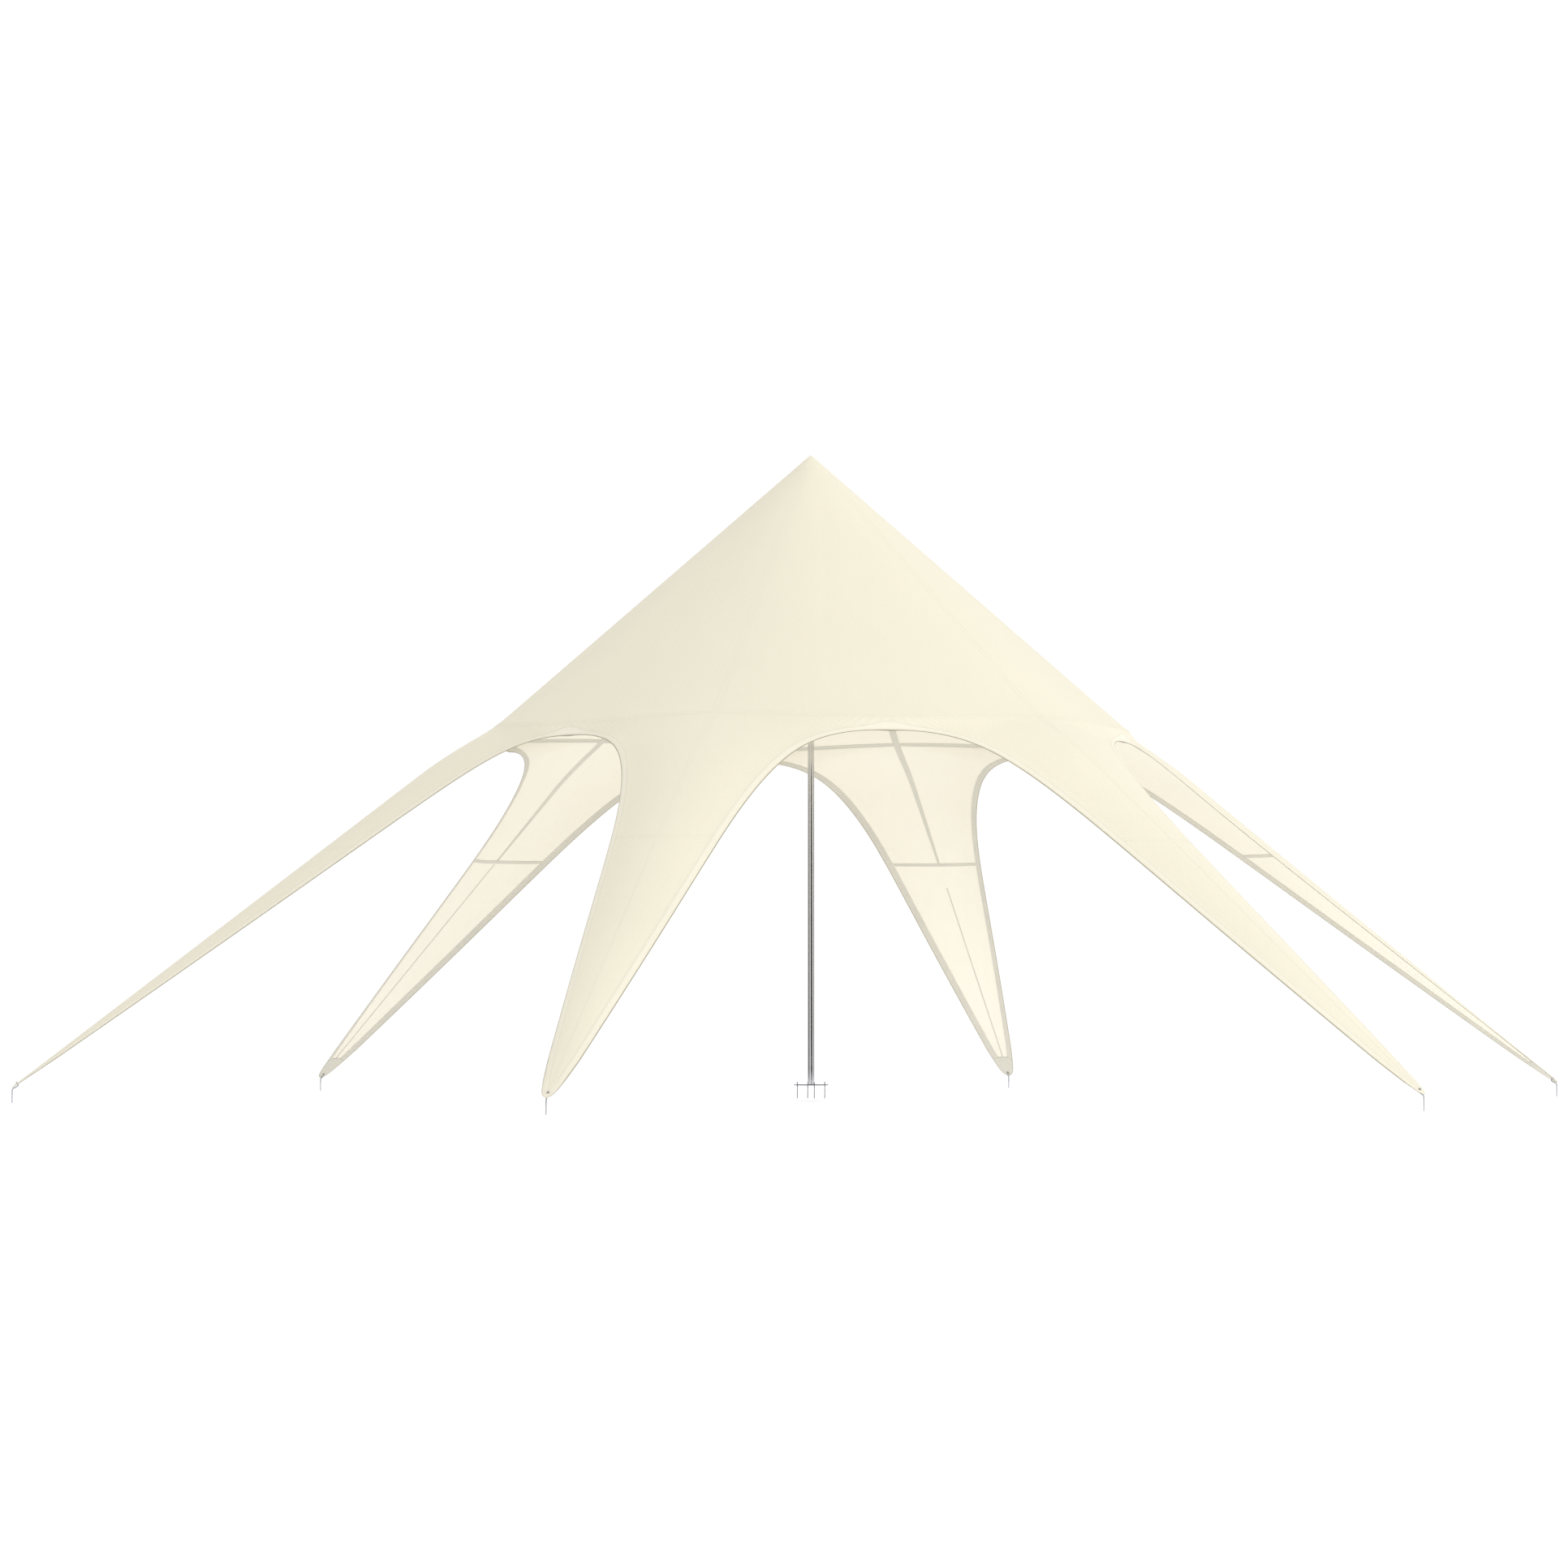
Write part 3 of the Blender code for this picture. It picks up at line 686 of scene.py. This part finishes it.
def buildSheet():  # the whole canopy as one sheet of quads
    sheet = bmesh.new()
    kind = sheet.faces.layers.int.new("kind")
    lift = sheet.verts.layers.float.new("lift")
    layers = [sheet.loops.layers.uv.new("weaveUv"), sheet.loops.layers.uv.new("hemUv")]
    slant = sqrt(1 + crownSlope ** 2)
    steps = cloth["seamSteps"]

    def addFace(corners, number, side):  # a corner is its point, its lift and its two places in the patterns
        if side == -1:
            corners = corners[::-1]
        vertices = [sheet.verts.new(corner[0]) for corner in corners]
        for vertex, corner in zip(vertices, corners):
            vertex[lift] = corner[1]
        face = sheet.faces.new(vertices)
        face[kind] = number
        for loop, corner in zip(face.loops, corners):
            for layer, place in zip(layers, corner[2:]):
                loop[layer].uv = place

    def armCorner(corner, turned, side):
        point, up, hem = corner
        down = seamRadius * slant + (point.x - seamRadius) * cloth["armSlant"]
        return turned @ point, up, (side * point.y, -down), hem

    def crownCorner(away, step, turned, side):
        turn = halfSector * step / steps
        point = Vector((away * cos(turn), away * sin(turn), 0.0))
        point.z = clothHeight(point.x, point.y)
        opened = (halfSector - turn) / slant
        up = 1.0 if away < cloth["capRadius"] else 0.0
        return turned @ point, up, (-side * away * slant * sin(opened), -away * slant * cos(opened)), (0.0, 1.0)

    plain = halfArm()
    kinds = [plainCloth] * (cloth["fieldSteps"] + 1) + [overTape] * (len(hemColumns) - 3) + [onlyTape]
    rings = [*cloth["apexRings"], *between(cloth["apexRings"][-1], seamRadius, cloth["crownRings"])[1:]]
    for arm in range(arms):
        for side in (1, -1):
            turned = Matrix.Rotation(armTurn * arm, 3, "Z") @ Matrix.Diagonal((1.0, side, 1.0))
            grid = [[armCorner(corner, turned, side) for corner in line] for line in plain]
            for upper, lower in zip(grid, grid[1:]):
                for j, number in enumerate(kinds):
                    addFace([upper[j], lower[j], lower[j + 1], upper[j + 1]], number, side)
            for inner, outer in zip(rings, rings[1:]):
                for step in range(steps):
                    places = [(inner, step), (outer, step), (outer, step + 1), (inner, step + 1)]
                    if inner == 0.0:
                        places.pop()
                    corners = [crownCorner(*place, turned, side) for place in places]
                    addFace(corners, capCloth if outer < cloth["capRadius"] else plainCloth, side)
    bmesh.ops.remove_doubles(sheet, verts=sheet.verts, dist=cloth["mergeWithin"])
    sheet.normal_update()
    pressCrease(sheet)
    sheet.normal_update()
    return sheet


def clothSolid(name, kinds, low, high, material, lifted=0.0, renamed={}):  # closed, between two offsets of the sheet
    lift = sheet.verts.layers.float["lift"]
    number = sheet.faces.layers.int["kind"]
    chosen = [face for face in sheet.faces if face[number] in kinds]
    made = bmesh.new()
    layers = [
        (sheet.loops.layers.uv[old], made.loops.layers.uv.new(renamed.get(old, old))) for old in ("weaveUv", "hemUv")
    ]
    under, over = {}, {}
    for vertex in dict.fromkeys(vertex for face in chosen for vertex in face.verts):
        under[vertex] = made.verts.new(vertex.co + vertex.normal * low)
        over[vertex] = made.verts.new(vertex.co + vertex.normal * (high + lifted * vertex[lift]))
    inside = set(chosen)

    def addFace(corners):  # a corner is a new vertex and the loop that it takes its places from
        face = made.faces.new([vertex for vertex, _ in corners])
        for loop, (_, source) in zip(face.loops, corners):
            for old, new in layers:
                loop[new].uv = source[old].uv

    for face in chosen:
        loops = list(face.loops)
        addFace([(over[loop.vert], loop) for loop in loops])
        addFace([(under[loop.vert], loop) for loop in reversed(loops)])
        for loop in loops:
            if sum(other in inside for other in loop.edge.link_faces) == 1:
                here, after = loop.vert, loop.link_loop_next
                addFace([
                    (under[here], loop), (under[after.vert], after), (over[after.vert], after), (over[here], loop),
                ])
    return newPiece(name, made, material)


sheet = buildSheet()
half = cloth["thickness"] / 2
canopy = clothSolid("canopy", (plainCloth, overTape, capCloth), -half, half, canvas, cloth["hemLift"])
print("canopy sheet:", len(sheet.faces), "quads")

tape = {
    "gap": 0.0003,
    "thickness": 0.0017,
    "clear": 0.001,
    "centreStart": 0.17,
    "centreHalf": 0.0275,
    "centreEnd": 0.009,
    "centreStep": 0.04,
    "seamHalf": 0.0185,
    "roundSteps": 48,
    "walkStep": 0.0008,
    "crossSteps": 24,
    "crossSlant": 0.78,  # in plan, for each metre on the cloth
    "crossRoom": 0.02,
    "crossHalvings": 24,
    "thinHalf": 0.0045,
    "thinStart": 3.735,
    "lateStart": 3.95,  # on the second arm the thin seam starts further down
    "thinEnd": 5.90,
    "thinStep": 0.05,
    "patchStart": 5.79,
    "patchGap": 0.0001,
    "patchThickness": 0.0012,
    "patchInset": 0.002,
    "patchSteps": 8,
    "patchSpacing": 0.005,
    "capThickness": 0.0033,
}
tapeTop = -half - tape["gap"]
tapeUnder = tapeTop - tape["thickness"]
patchTop = tapeUnder - tape["patchGap"]
hemTape = clothSolid("hemTape", (overTape, onlyTape), tapeUnder, tapeTop, webbing, renamed={"hemUv": "tapeUv"})
capUnder = tapeTop - tape["capThickness"]
capPatch = clothSolid("apexPatch", (capCloth,), capUnder, tapeTop, webbing, renamed={"weaveUv": "tapeUv"})

# Tapes along the seams lie on the sheet's underside, found by looking straight down on it
shadow = sheet.copy()
number = shadow.faces.layers.int["kind"]
bmesh.ops.delete(shadow, geom=[face for face in shadow.faces if face[number] == onlyTape], context="FACES")
finder = BVHTree.FromBMesh(shadow)
overhead = 6.0
shadow.free()
sheet.free()


def onSheet(x, y):
    point, normal, _, _ = finder.ray_cast(Vector((x, y, overhead)), Vector((0.0, 0.0, -1.0)))
    return point, (normal if normal.z > 0 else -normal)


def strip(name, lines, top=tapeTop, under=tapeUnder, **ring):  # closed strips through lines of points and normals
    made = bmesh.new()
    layer = made.loops.layers.uv.new("tapeUv")
    length = 0.0
    levels = []
    for level in (top, under):
        levels.append([[made.verts.new(point + normal * level) for point, normal in line] for line in lines])
    places = []
    for i, line in enumerate(lines):
        if i:
            length += (line[0][0] - lines[i - 1][0][0]).length
        width = 0.0
        places.append([])
        for j, (point, _) in enumerate(line):
            if j:
                width += (point - line[j - 1][0]).length
            places[-1].append((length, width))
    last, end = len(lines) - 1, len(lines[0]) - 1

    def addFace(*corners):  # level, line, place in the line
        face = made.faces.new([levels[a][b][c] for a, b, c in corners])
        for loop, (_, b, c) in zip(face.loops, corners):
            loop[layer].uv = places[b][c]

    for i in range(last):
        for j in range(end):
            addFace((0, i, j), (0, i + 1, j), (0, i + 1, j + 1), (0, i, j + 1))
            addFace((1, i, j), (1, i, j + 1), (1, i + 1, j + 1), (1, i + 1, j))
        addFace((0, i, 0), (1, i, 0), (1, i + 1, 0), (0, i + 1, 0))
        addFace((0, i, end), (0, i + 1, end), (1, i + 1, end), (1, i, end))
    for j in range(end):
        addFace((0, 0, j), (0, 0, j + 1), (1, 0, j + 1), (1, 0, j))
        addFace((0, last, j), (1, last, j), (1, last, j + 1), (0, last, j + 1))
    bmesh.ops.recalc_face_normals(made, faces=made.faces)
    return ringOf(newPiece(name, made, webbing), webbing, **ring)


def crossRow(along, reach, steps):  # points on the sheet across an arm
    return [onSheet(along, reach * (2 * j / steps - 1)) for j in range(steps + 1)]


def ridgeLines(first, last, step, halfWidth, across):  # cross rows along an arm's middle
    return [crossRow(along, halfWidth(along), across) for along in between(first, last, ceil((last - first) / step))]


def centreHalf(along):
    done = min(1.0, max(0.0, (along - seamRadius) / (crossSeam - seamRadius)))
    return tape["centreHalf"] + (tape["centreEnd"] - tape["centreHalf"]) * done


def armHalfAt(along):
    return hemPoint(hemShareAt(along)).y


def walkOut(turn, distance):  # a point at this distance from the round seam, measured on the cloth
    step = tape["walkStep"] if distance >= 0 else -tape["walkStep"]
    radius = seamRadius
    point, normal = onSheet(radius * cos(turn), radius * sin(turn))
    gone = 0.0
    while gone < abs(distance):
        radius += step
        after, afterNormal = onSheet(radius * cos(turn), radius * sin(turn))
        length = (after - point).length
        if gone + length >= abs(distance):
            return point.lerp(after, (abs(distance) - gone) / length), afterNormal
        point, normal, gone = after, afterNormal, gone + length
    return point, normal


centreLast = crossSeam - tape["seamHalf"]
centreLines = ridgeLines(tape["centreStart"], centreLast, tape["centreStep"], centreHalf, 4)
centreTapes = strip("centreTape", centreLines)

clearTurn = (tape["centreHalf"] + tape["clear"]) / seamRadius
roundTurns = [clearTurn + (armTurn - 2 * clearTurn) * i / tape["roundSteps"] for i in range(tape["roundSteps"] + 1)]
seamOffsets = [tape["seamHalf"] * (j / 2 - 1) for j in range(5)]
roundTapes = strip("roundSeamTape", [[walkOut(turn, offset) for offset in seamOffsets] for turn in roundTurns])

crossLevel = ridgeHeight(crossSeam)  # the cross seam runs level from hem to hem


def crossAcross(along, share):  # from one hem tape (-1) to the other (1)
    return share * (armHalfAt(along) - cloth["hemWidth"] - tape["clear"])


def crossAlong(share):  # where the level line meets the sheet
    low, high = seamRadius, crossSeam + tape["crossRoom"]
    for _ in range(tape["crossHalvings"]):
        along = (low + high) / 2
        if onSheet(along, crossAcross(along, share))[0].z > crossLevel:
            low = along
        else:
            high = along
    return along


def crossLine(distance):  # the level line, moved along the arm by this much
    found = []
    for i in range(tape["crossSteps"] + 1):
        share = i / (tape["crossSteps"] / 2) - 1
        along = crossAlong(share) + distance * tape["crossSlant"]
        found.append(onSheet(along, crossAcross(along, share)))
    return found


crossTapes = strip("crossSeamTape", [list(line) for line in zip(*(crossLine(offset) for offset in seamOffsets))])
thinLines, lateLines = (
    ridgeLines(tape[start], tape["thinEnd"], tape["thinStep"], lambda along: tape["thinHalf"], 2)
    for start in ("thinStart", "lateStart")
)
thinSeams = strip("thinSeam", thinLines, count=5, first=2 * armTurn)
lateSeam = strip("thinSeamLate", lateLines, count=1, first=armTurn)


def tongueHalf(along):
    if along <= tongueStart:
        return armHalfAt(along)
    return armHalfAt(tongueStart) * tongueShare((along - tongueStart) / tongueLength)


patchSpots = [tongueStart + tongueLength * done for done in cloth["tongueRows"][:-1]]
patchSpots = [tape["patchStart"]] + [spot for spot in patchSpots if spot > tape["patchStart"] + tape["patchSpacing"]]
patchLines = [crossRow(along, tongueHalf(along) - tape["patchInset"], tape["patchSteps"]) for along in patchSpots]
patches = strip("tipPatch", patchLines, patchTop, patchTop - tape["patchThickness"])
print("tapes laid")

# Holes for the eyelets
eyelet = {
    "along": 5.962,
    "hole": 0.0088,
    "inner": 0.0070,
    "flange": 0.0132,
    "top": half + 0.0002,
    "under": patchTop - 0.0014,
    "roll": 0.0013,
    "rollSteps": 5,
    "lip": 0.0003,
    "sink": 0.0002,
    "slack": 0.0001,
    "sides": 40,
    "punchSides": 32,
    "punchDepth": 0.03,
}
slope = Vector((ridgeSlope, 0.0, 1.0)).normalized()
eyeletSpot = Vector((eyelet["along"], 0.0, ridgeHeight(eyelet["along"])))
eyeletSeat = Matrix.Translation(eyeletSpot) @ slope.to_track_quat("Z", "Y").to_matrix().to_4x4()


def punchRing(radius, depth, seat, material, **ring):  # a round cutter for each hole
    made = bmesh.new()
    size = {"radius1": radius, "radius2": radius, "depth": depth}
    bmesh.ops.create_cone(made, cap_ends=True, segments=eyelet["punchSides"], matrix=seat, **size)
    return ringOf(newPiece("punch", made, material), material, **ring)


punch = punchRing(eyelet["hole"], eyelet["punchDepth"], eyeletSeat, webbing)
cutHoles(canopy, punch)
cutHoles(patches, punch)
bpy.data.objects.remove(punch)
print("eyelet holes cut")


# Stitching

sewing = {
    "pitch": 0.020,  # real stitches are 4 mm long; drawn longer, or there would be a hundred thousand
    "length": 0.014,
    "thread": 0.0011,
    "seed": 7,
    "stand": 0.0002,
    "hemRows": (0.007, 0.036),
    "tapeInset": 0.004,
    "capRow": 0.141,
    "capSteps": 12,
    "thinRow": 0.002,
    "patchRow": 0.006,
    "patchInset": 0.01,
    "rowStep": 0.05,
    "nudge": 0.001,
}


def raised(found, level):
    return [point + normal * level for point, normal in found]


def hemRow(distance, level):  # points along the hem of one arch, from tip to tip
    rows = armRows()
    points = [armPoint(*row, shareFromHem(*row, distance)) for row in rows]
    line = []
    for i, row in enumerate(rows):
        share = shareFromHem(*row, distance)
        along = points[min(i + 1, len(rows) - 1)] - points[max(i - 1, 0)]
        across = armPoint(*row, share + sewing["nudge"]) - armPoint(*row, share - sewing["nudge"])
        normal = along.cross(across).normalized()
        line.append(points[i] + (normal if normal.z > 0 else -normal) * level)
    second = Matrix.Rotation(armTurn, 3, "Z") @ Matrix.Diagonal((1.0, -1.0, 1.0))
    return line[::-1] + [second @ point for point in line[1:]]


def stitches(name, lines):
    rows = bmesh.new()
    for line in lines:
        points = [rows.verts.new(point) for point in line]
        for pair in zip(points, points[1:]):
            rows.edges.new(pair)
    made = newObject(name, newMesh(name, rows))
    runTree(made, stitchTree, {
        "Pitch": sewing["pitch"], "Stitch Length": sewing["length"], "Thread": sewing["thread"],
        "Seed": sewing["seed"], "Material": thread,
    })
    return ringOf(made, thread)


def sideRows(first, last, halfWidth, level):  # two rows along an arm's middle
    places = between(first, last, ceil((last - first) / sewing["rowStep"]))
    return [raised([onSheet(along, side * halfWidth(along)) for along in places], level) for side in (1, -1)]


def seamRows(level):
    inset = sewing["tapeInset"]
    lines = sideRows(tape["centreStart"], centreLast, lambda along: centreHalf(along) - inset, level)
    for distance in (inset - tape["seamHalf"], tape["seamHalf"] - inset):
        lines.append(raised([walkOut(turn, distance) for turn in roundTurns], level))
        lines.append(raised(crossLine(distance), level))
    turns = between(0.0, armTurn, sewing["capSteps"])
    found = [onSheet(sewing["capRow"] * cos(turn), sewing["capRow"] * sin(turn)) for turn in turns]
    lines.append(raised(found, level if level < 0 else level + cloth["hemLift"]))
    return lines


outside = half + sewing["stand"]
inside = tapeUnder - sewing["stand"]
thinRows = sideRows(tape["thinStart"], tape["thinEnd"], lambda along: sewing["thinRow"], outside)
patchReach = tongueHalf(tape["patchStart"]) - sewing["patchInset"]
patchRow = crossRow(tape["patchStart"] + sewing["patchRow"], patchReach, tape["patchSteps"])
hemOutside = outside + cloth["hemLift"]
outerHem = stitches("hemStitchesOutside", [hemRow(distance, hemOutside) for distance in sewing["hemRows"]])
innerHem = stitches("hemStitchesInside", [hemRow(distance, inside) for distance in sewing["hemRows"]])
outerSeams = stitches("seamStitchesOutside", seamRows(outside) + thinRows)
innerSeams = stitches("seamStitchesInside", seamRows(inside) + [raised(patchRow, eyelet["under"])])
print("stitching done")


# Turned metal

def lathe(name, profile, material, sides, closed=False, angle=sharpFrom):  # radius and height, from the bottom up
    made = bmesh.new()
    points = [made.verts.new((radius, 0.0, height)) for radius, height in profile]
    edges = [made.edges.new(pair) for pair in zip(points, points[1:])]
    if closed:
        edges.append(made.edges.new((points[-1], points[0])))
    turn = {"axis": (0, 0, 1), "cent": (0, 0, 0), "angle": 2 * pi}
    bmesh.ops.spin(made, geom=points + edges, steps=sides, use_merge=True, **turn)
    bmesh.ops.remove_doubles(made, verts=made.verts, dist=weldWithin)
    bmesh.ops.recalc_face_normals(made, faces=made.faces)
    return newPiece(name, made, material, angle)


def rolled(radius, height, roll, first, last):  # part of a circle in the profile, angles in degrees
    turns = [radians(turn) for turn in between(first, last, eyelet["rollSteps"])]
    return [(radius + roll * cos(turn), height + roll * sin(turn)) for turn in turns]


roll, inner, flange = eyelet["roll"], eyelet["inner"], eyelet["flange"]
top, under, sink, slack = eyelet["top"], eyelet["under"], eyelet["sink"], eyelet["slack"]
barrel = eyelet["hole"] - sink
eyeletProfile = rolled(flange - roll / 2, under, roll / 2, 90, -90)
eyeletProfile += rolled(inner + roll, under + roll / 2, roll, 270, 180)
eyeletProfile += rolled(inner + roll, top - roll / 2 + eyelet["lip"], roll, 180, 90)
eyeletProfile += rolled(flange - roll / 2, top + roll / 2 - sink, roll / 2, 90, -90)
eyeletProfile += [(barrel, top - slack), (barrel, under + slack + roll / 2)]
eyelets = lathe("tipEyelets", eyeletProfile, nickel, eyelet["sides"], closed=True)
eyelets.data.transform(eyeletSeat)
ringOf(eyelets, nickel)

peg = {
    "radius": 0.004,
    "place": 6.0,
    "depth": 0.117,
    "point": 0.014,
    "pointShare": 0.12,
    "neck": 0.008,
    "hookUnder": 0.020,
    "hookOver": 0.013,
    "hookClear": 0.0004,
    "bend": 0.012,
    "bendSteps": 8,
    "end": ((0.0012, 1.0), (0.0004, 0.85), (0.0, 0.6)),  # distance from the end, share of the radius
    "sides": 6,
}
downSlope = Vector((1.0, 0.0, -ridgeSlope)).normalized()
hookLine = eyeletSpot + downSlope * (inner - peg["radius"] - peg["hookClear"])
pegPoint = Vector((peg["place"], 0.0, -peg["depth"]))
pegShoulder = Vector((peg["place"], 0.0, -peg["depth"] + peg["point"]))
hookCorners = [
    pegShoulder,
    Vector((peg["place"], 0.0, -peg["neck"])),
    hookLine - slope * peg["hookUnder"],
    hookLine + slope * peg["hookOver"],
]


def bentRod(name, lead, corners, material):  # a rod on straight runs with rounded bends, pointed at its driven end
    path = [*lead]
    for before, corner, after in zip(corners, corners[1:], corners[2:]):
        back = (before - corner).normalized() * peg["bend"]
        on = (after - corner).normalized() * peg["bend"]
        for step in range(peg["bendSteps"] + 1):
            share = step / peg["bendSteps"]
            first = (corner + back).lerp(corner, share)
            path.append((first.lerp(corner.lerp(corner + on, share), share), 1.0))
    reach = (corners[-1] - corners[-2]).normalized()
    path += [(corners[-1] - reach * away, share) for away, share in peg["end"]]
    curve = bpy.data.curves.new(name, "CURVE")
    curve.dimensions = "3D"
    curve.bevel_depth = peg["radius"]
    curve.bevel_resolution = peg["sides"]
    curve.use_fill_caps = True
    spline = curve.splines.new("POLY")
    spline.points.add(len(path) - 1)
    for spot, (point, share) in zip(spline.points, path):
        spot.co = (*point, 1.0)
        spot.radius = share
    source = newObject(name + "Path", curve)
    mesh = shownMesh(source)
    bpy.data.objects.remove(source)
    made = bmesh.new()
    made.from_mesh(mesh)
    bmesh.ops.remove_doubles(made, verts=made.verts, dist=weldWithin)
    bmesh.ops.recalc_face_normals(made, faces=made.faces)
    return newPiece(name, made, material)


pointed = [(pegPoint, peg["pointShare"]), (pegShoulder, 1.0)]
tipPegs = ringOf(bentRod("tipPegs", pointed, hookCorners, zinc), zinc)

pole = {
    "radius": 0.024,
    "wall": 0.0015,
    "joints": (1.60, 3.20),
    "spigot": 0.09,
    "spigotClear": 0.0004,
    "spigotChamfer": (0.001, 0.003),
    "spigotFoot": (0.004, 0.012),
    "chamfer": 0.0007,
    "sides": 96,
    "sharpFrom": 28.0,
    "plateThickness": 0.006,
    "plateClear": 0.0003,
    "apexRound": 0.008,
    "capCloth": 0.004,
    "capClear": 0.0006,
    "plugSlope": 0.6414,
    "plugHead": 0.020,
    "plugSpigot": 0.040,
    "plugEdge": 0.0008,
    "plugChamfer": (0.0006, 0.001),
    "plugLift": (0.0003, 0.0002),
    "plugSides": 64,
}
wide, wall, chamfer = pole["radius"], pole["wall"], pole["chamfer"]
bore = wide - wall
spigot = bore - pole["spigotClear"]
plugTop = cloth["apexHeight"] - pole["apexRound"] - pole["capCloth"] - pole["capClear"]
plugEdge = plugTop - pole["plugSlope"] * wide
plugBase = plugEdge - pole["plugHead"]
feet = (pole["plateThickness"] + pole["plateClear"], *pole["joints"])
heads = (*pole["joints"], plugBase)
poleTubes = []
for number, (foot, head) in enumerate(zip(feet, heads)):
    outline = [(bore, foot), (wide - chamfer, foot), (wide, foot + chamfer)]
    outline += [(wide, head - chamfer), (wide - chamfer, head)]
    if number < len(pole["joints"]):
        spigotTop = head + pole["spigot"]
        across, down = pole["spigotChamfer"]
        innerFoot, outerFoot = pole["spigotFoot"]
        outline += [(spigot, head), (spigot, spigotTop - down), (spigot - across, spigotTop)]
        outline += [(spigot - wall, spigotTop), (spigot - wall, head - innerFoot), (bore, head - outerFoot)]
    else:
        outline.append((bore, head))
    tube = lathe(f"poleTube{number + 1}", outline, polished, pole["sides"], True, pole["sharpFrom"])
    poleTubes.append(tube)
edge, spigotEnd = pole["plugEdge"], plugBase - pole["plugSpigot"]
across, up = pole["plugChamfer"]
lift, drop = pole["plugLift"]
plug = lathe("poleHead", [
    (0.0, spigotEnd), (spigot - up, spigotEnd), (spigot, spigotEnd + up),
    (spigot, plugBase + lift), (wide - across, plugBase + lift), (wide, plugBase + up),
    (wide, plugEdge - edge), (wide - edge, plugEdge + drop), (0.0, plugTop),
], plastic, pole["plugSides"])

plate = {
    "radius": 0.131,
    "thickness": 0.006,
    "edge": 0.0012,
    "edgeShare": 0.3,
    "sides": 128,
    "socket": (0.0219, 0.0189, 0.12),
    "socketEdge": 0.001,
    "pegs": 4,
    "pegRadius": 0.107,
    "pegHole": 0.0043,
    "pegSides": 32,
    "punchDepth": 0.05,
    "pegProfile": (
        (0.0, -0.104), (0.0012, -0.1035), (0.004, -0.092), (0.004, 0.0215), (0.0060, 0.0225), (0.0065, 0.0230),
        (0.0065, 0.0245), (0.0058, 0.0256), (0.003, 0.0260), (0.0, 0.0260),
    ),
}
wide, thick, edge, top = plate["radius"], plate["thickness"], plate["edge"], plate["socketEdge"]
small = edge * plate["edgeShare"]
outer, inner, height = plate["socket"]
basePlate = lathe("basePlate", [
    (0.0, 0.0), (wide - edge, 0.0), (wide - small, small), (wide, edge),
    (wide, thick - edge), (wide - small, thick - small), (wide - edge, thick),
    (outer, thick), (outer, height - top), (outer - top, height), (inner, height), (inner, thick), (0.0, thick),
], plateSteel, plate["sides"])
pegRing = {"count": plate["pegs"], "step": 2 * pi / plate["pegs"]}
pegSeat = Matrix.Translation((plate["pegRadius"], 0, 0))
punch = punchRing(plate["pegHole"], plate["punchDepth"], pegSeat, plateSteel, **pegRing)
cutHoles(basePlate, punch)
bpy.data.objects.remove(punch)
basePegs = lathe("basePegs", plate["pegProfile"], zinc, plate["pegSides"])
basePegs.data.transform(pegSeat)
ringOf(basePegs, zinc, **pegRing)
print("pole, plate, pegs and eyelets made")


# The solids that the new pieces replace are hidden, and each piece rides on the body

def numbered(*stems):
    return [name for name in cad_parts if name.rstrip("0123456789").rstrip("_") in stems]


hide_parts(*numbered("crown_gore", "arch_gore", "arm_end", "apex_cap"))
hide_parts(*numbered("hem_band"))
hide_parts(*numbered("tip_eyelet"))
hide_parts(*numbered("tip_peg"))
for number, tube in enumerate(poleTubes):
    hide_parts(f"pole_section_{number + 1}")
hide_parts("pole_plug")
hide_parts("base_plate")
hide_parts(*numbered("base_peg"))

tapes = [hemTape, capPatch, centreTapes, roundTapes, crossTapes, thinSeams, lateSeam, patches]
tapes += [outerHem, innerHem, outerSeams, innerSeams]
finishes = {
    "canvas": [canopy],
    "webbing": tapes,
    "nickel": [eyelets],
    "galvanised": [tipPegs, basePegs],
    "polished_steel": [*poleTubes, basePlate],
    "plug_plastic": [plug],
}
for slotName, pieces in finishes.items():
    for piece in pieces:
        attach(piece, body)
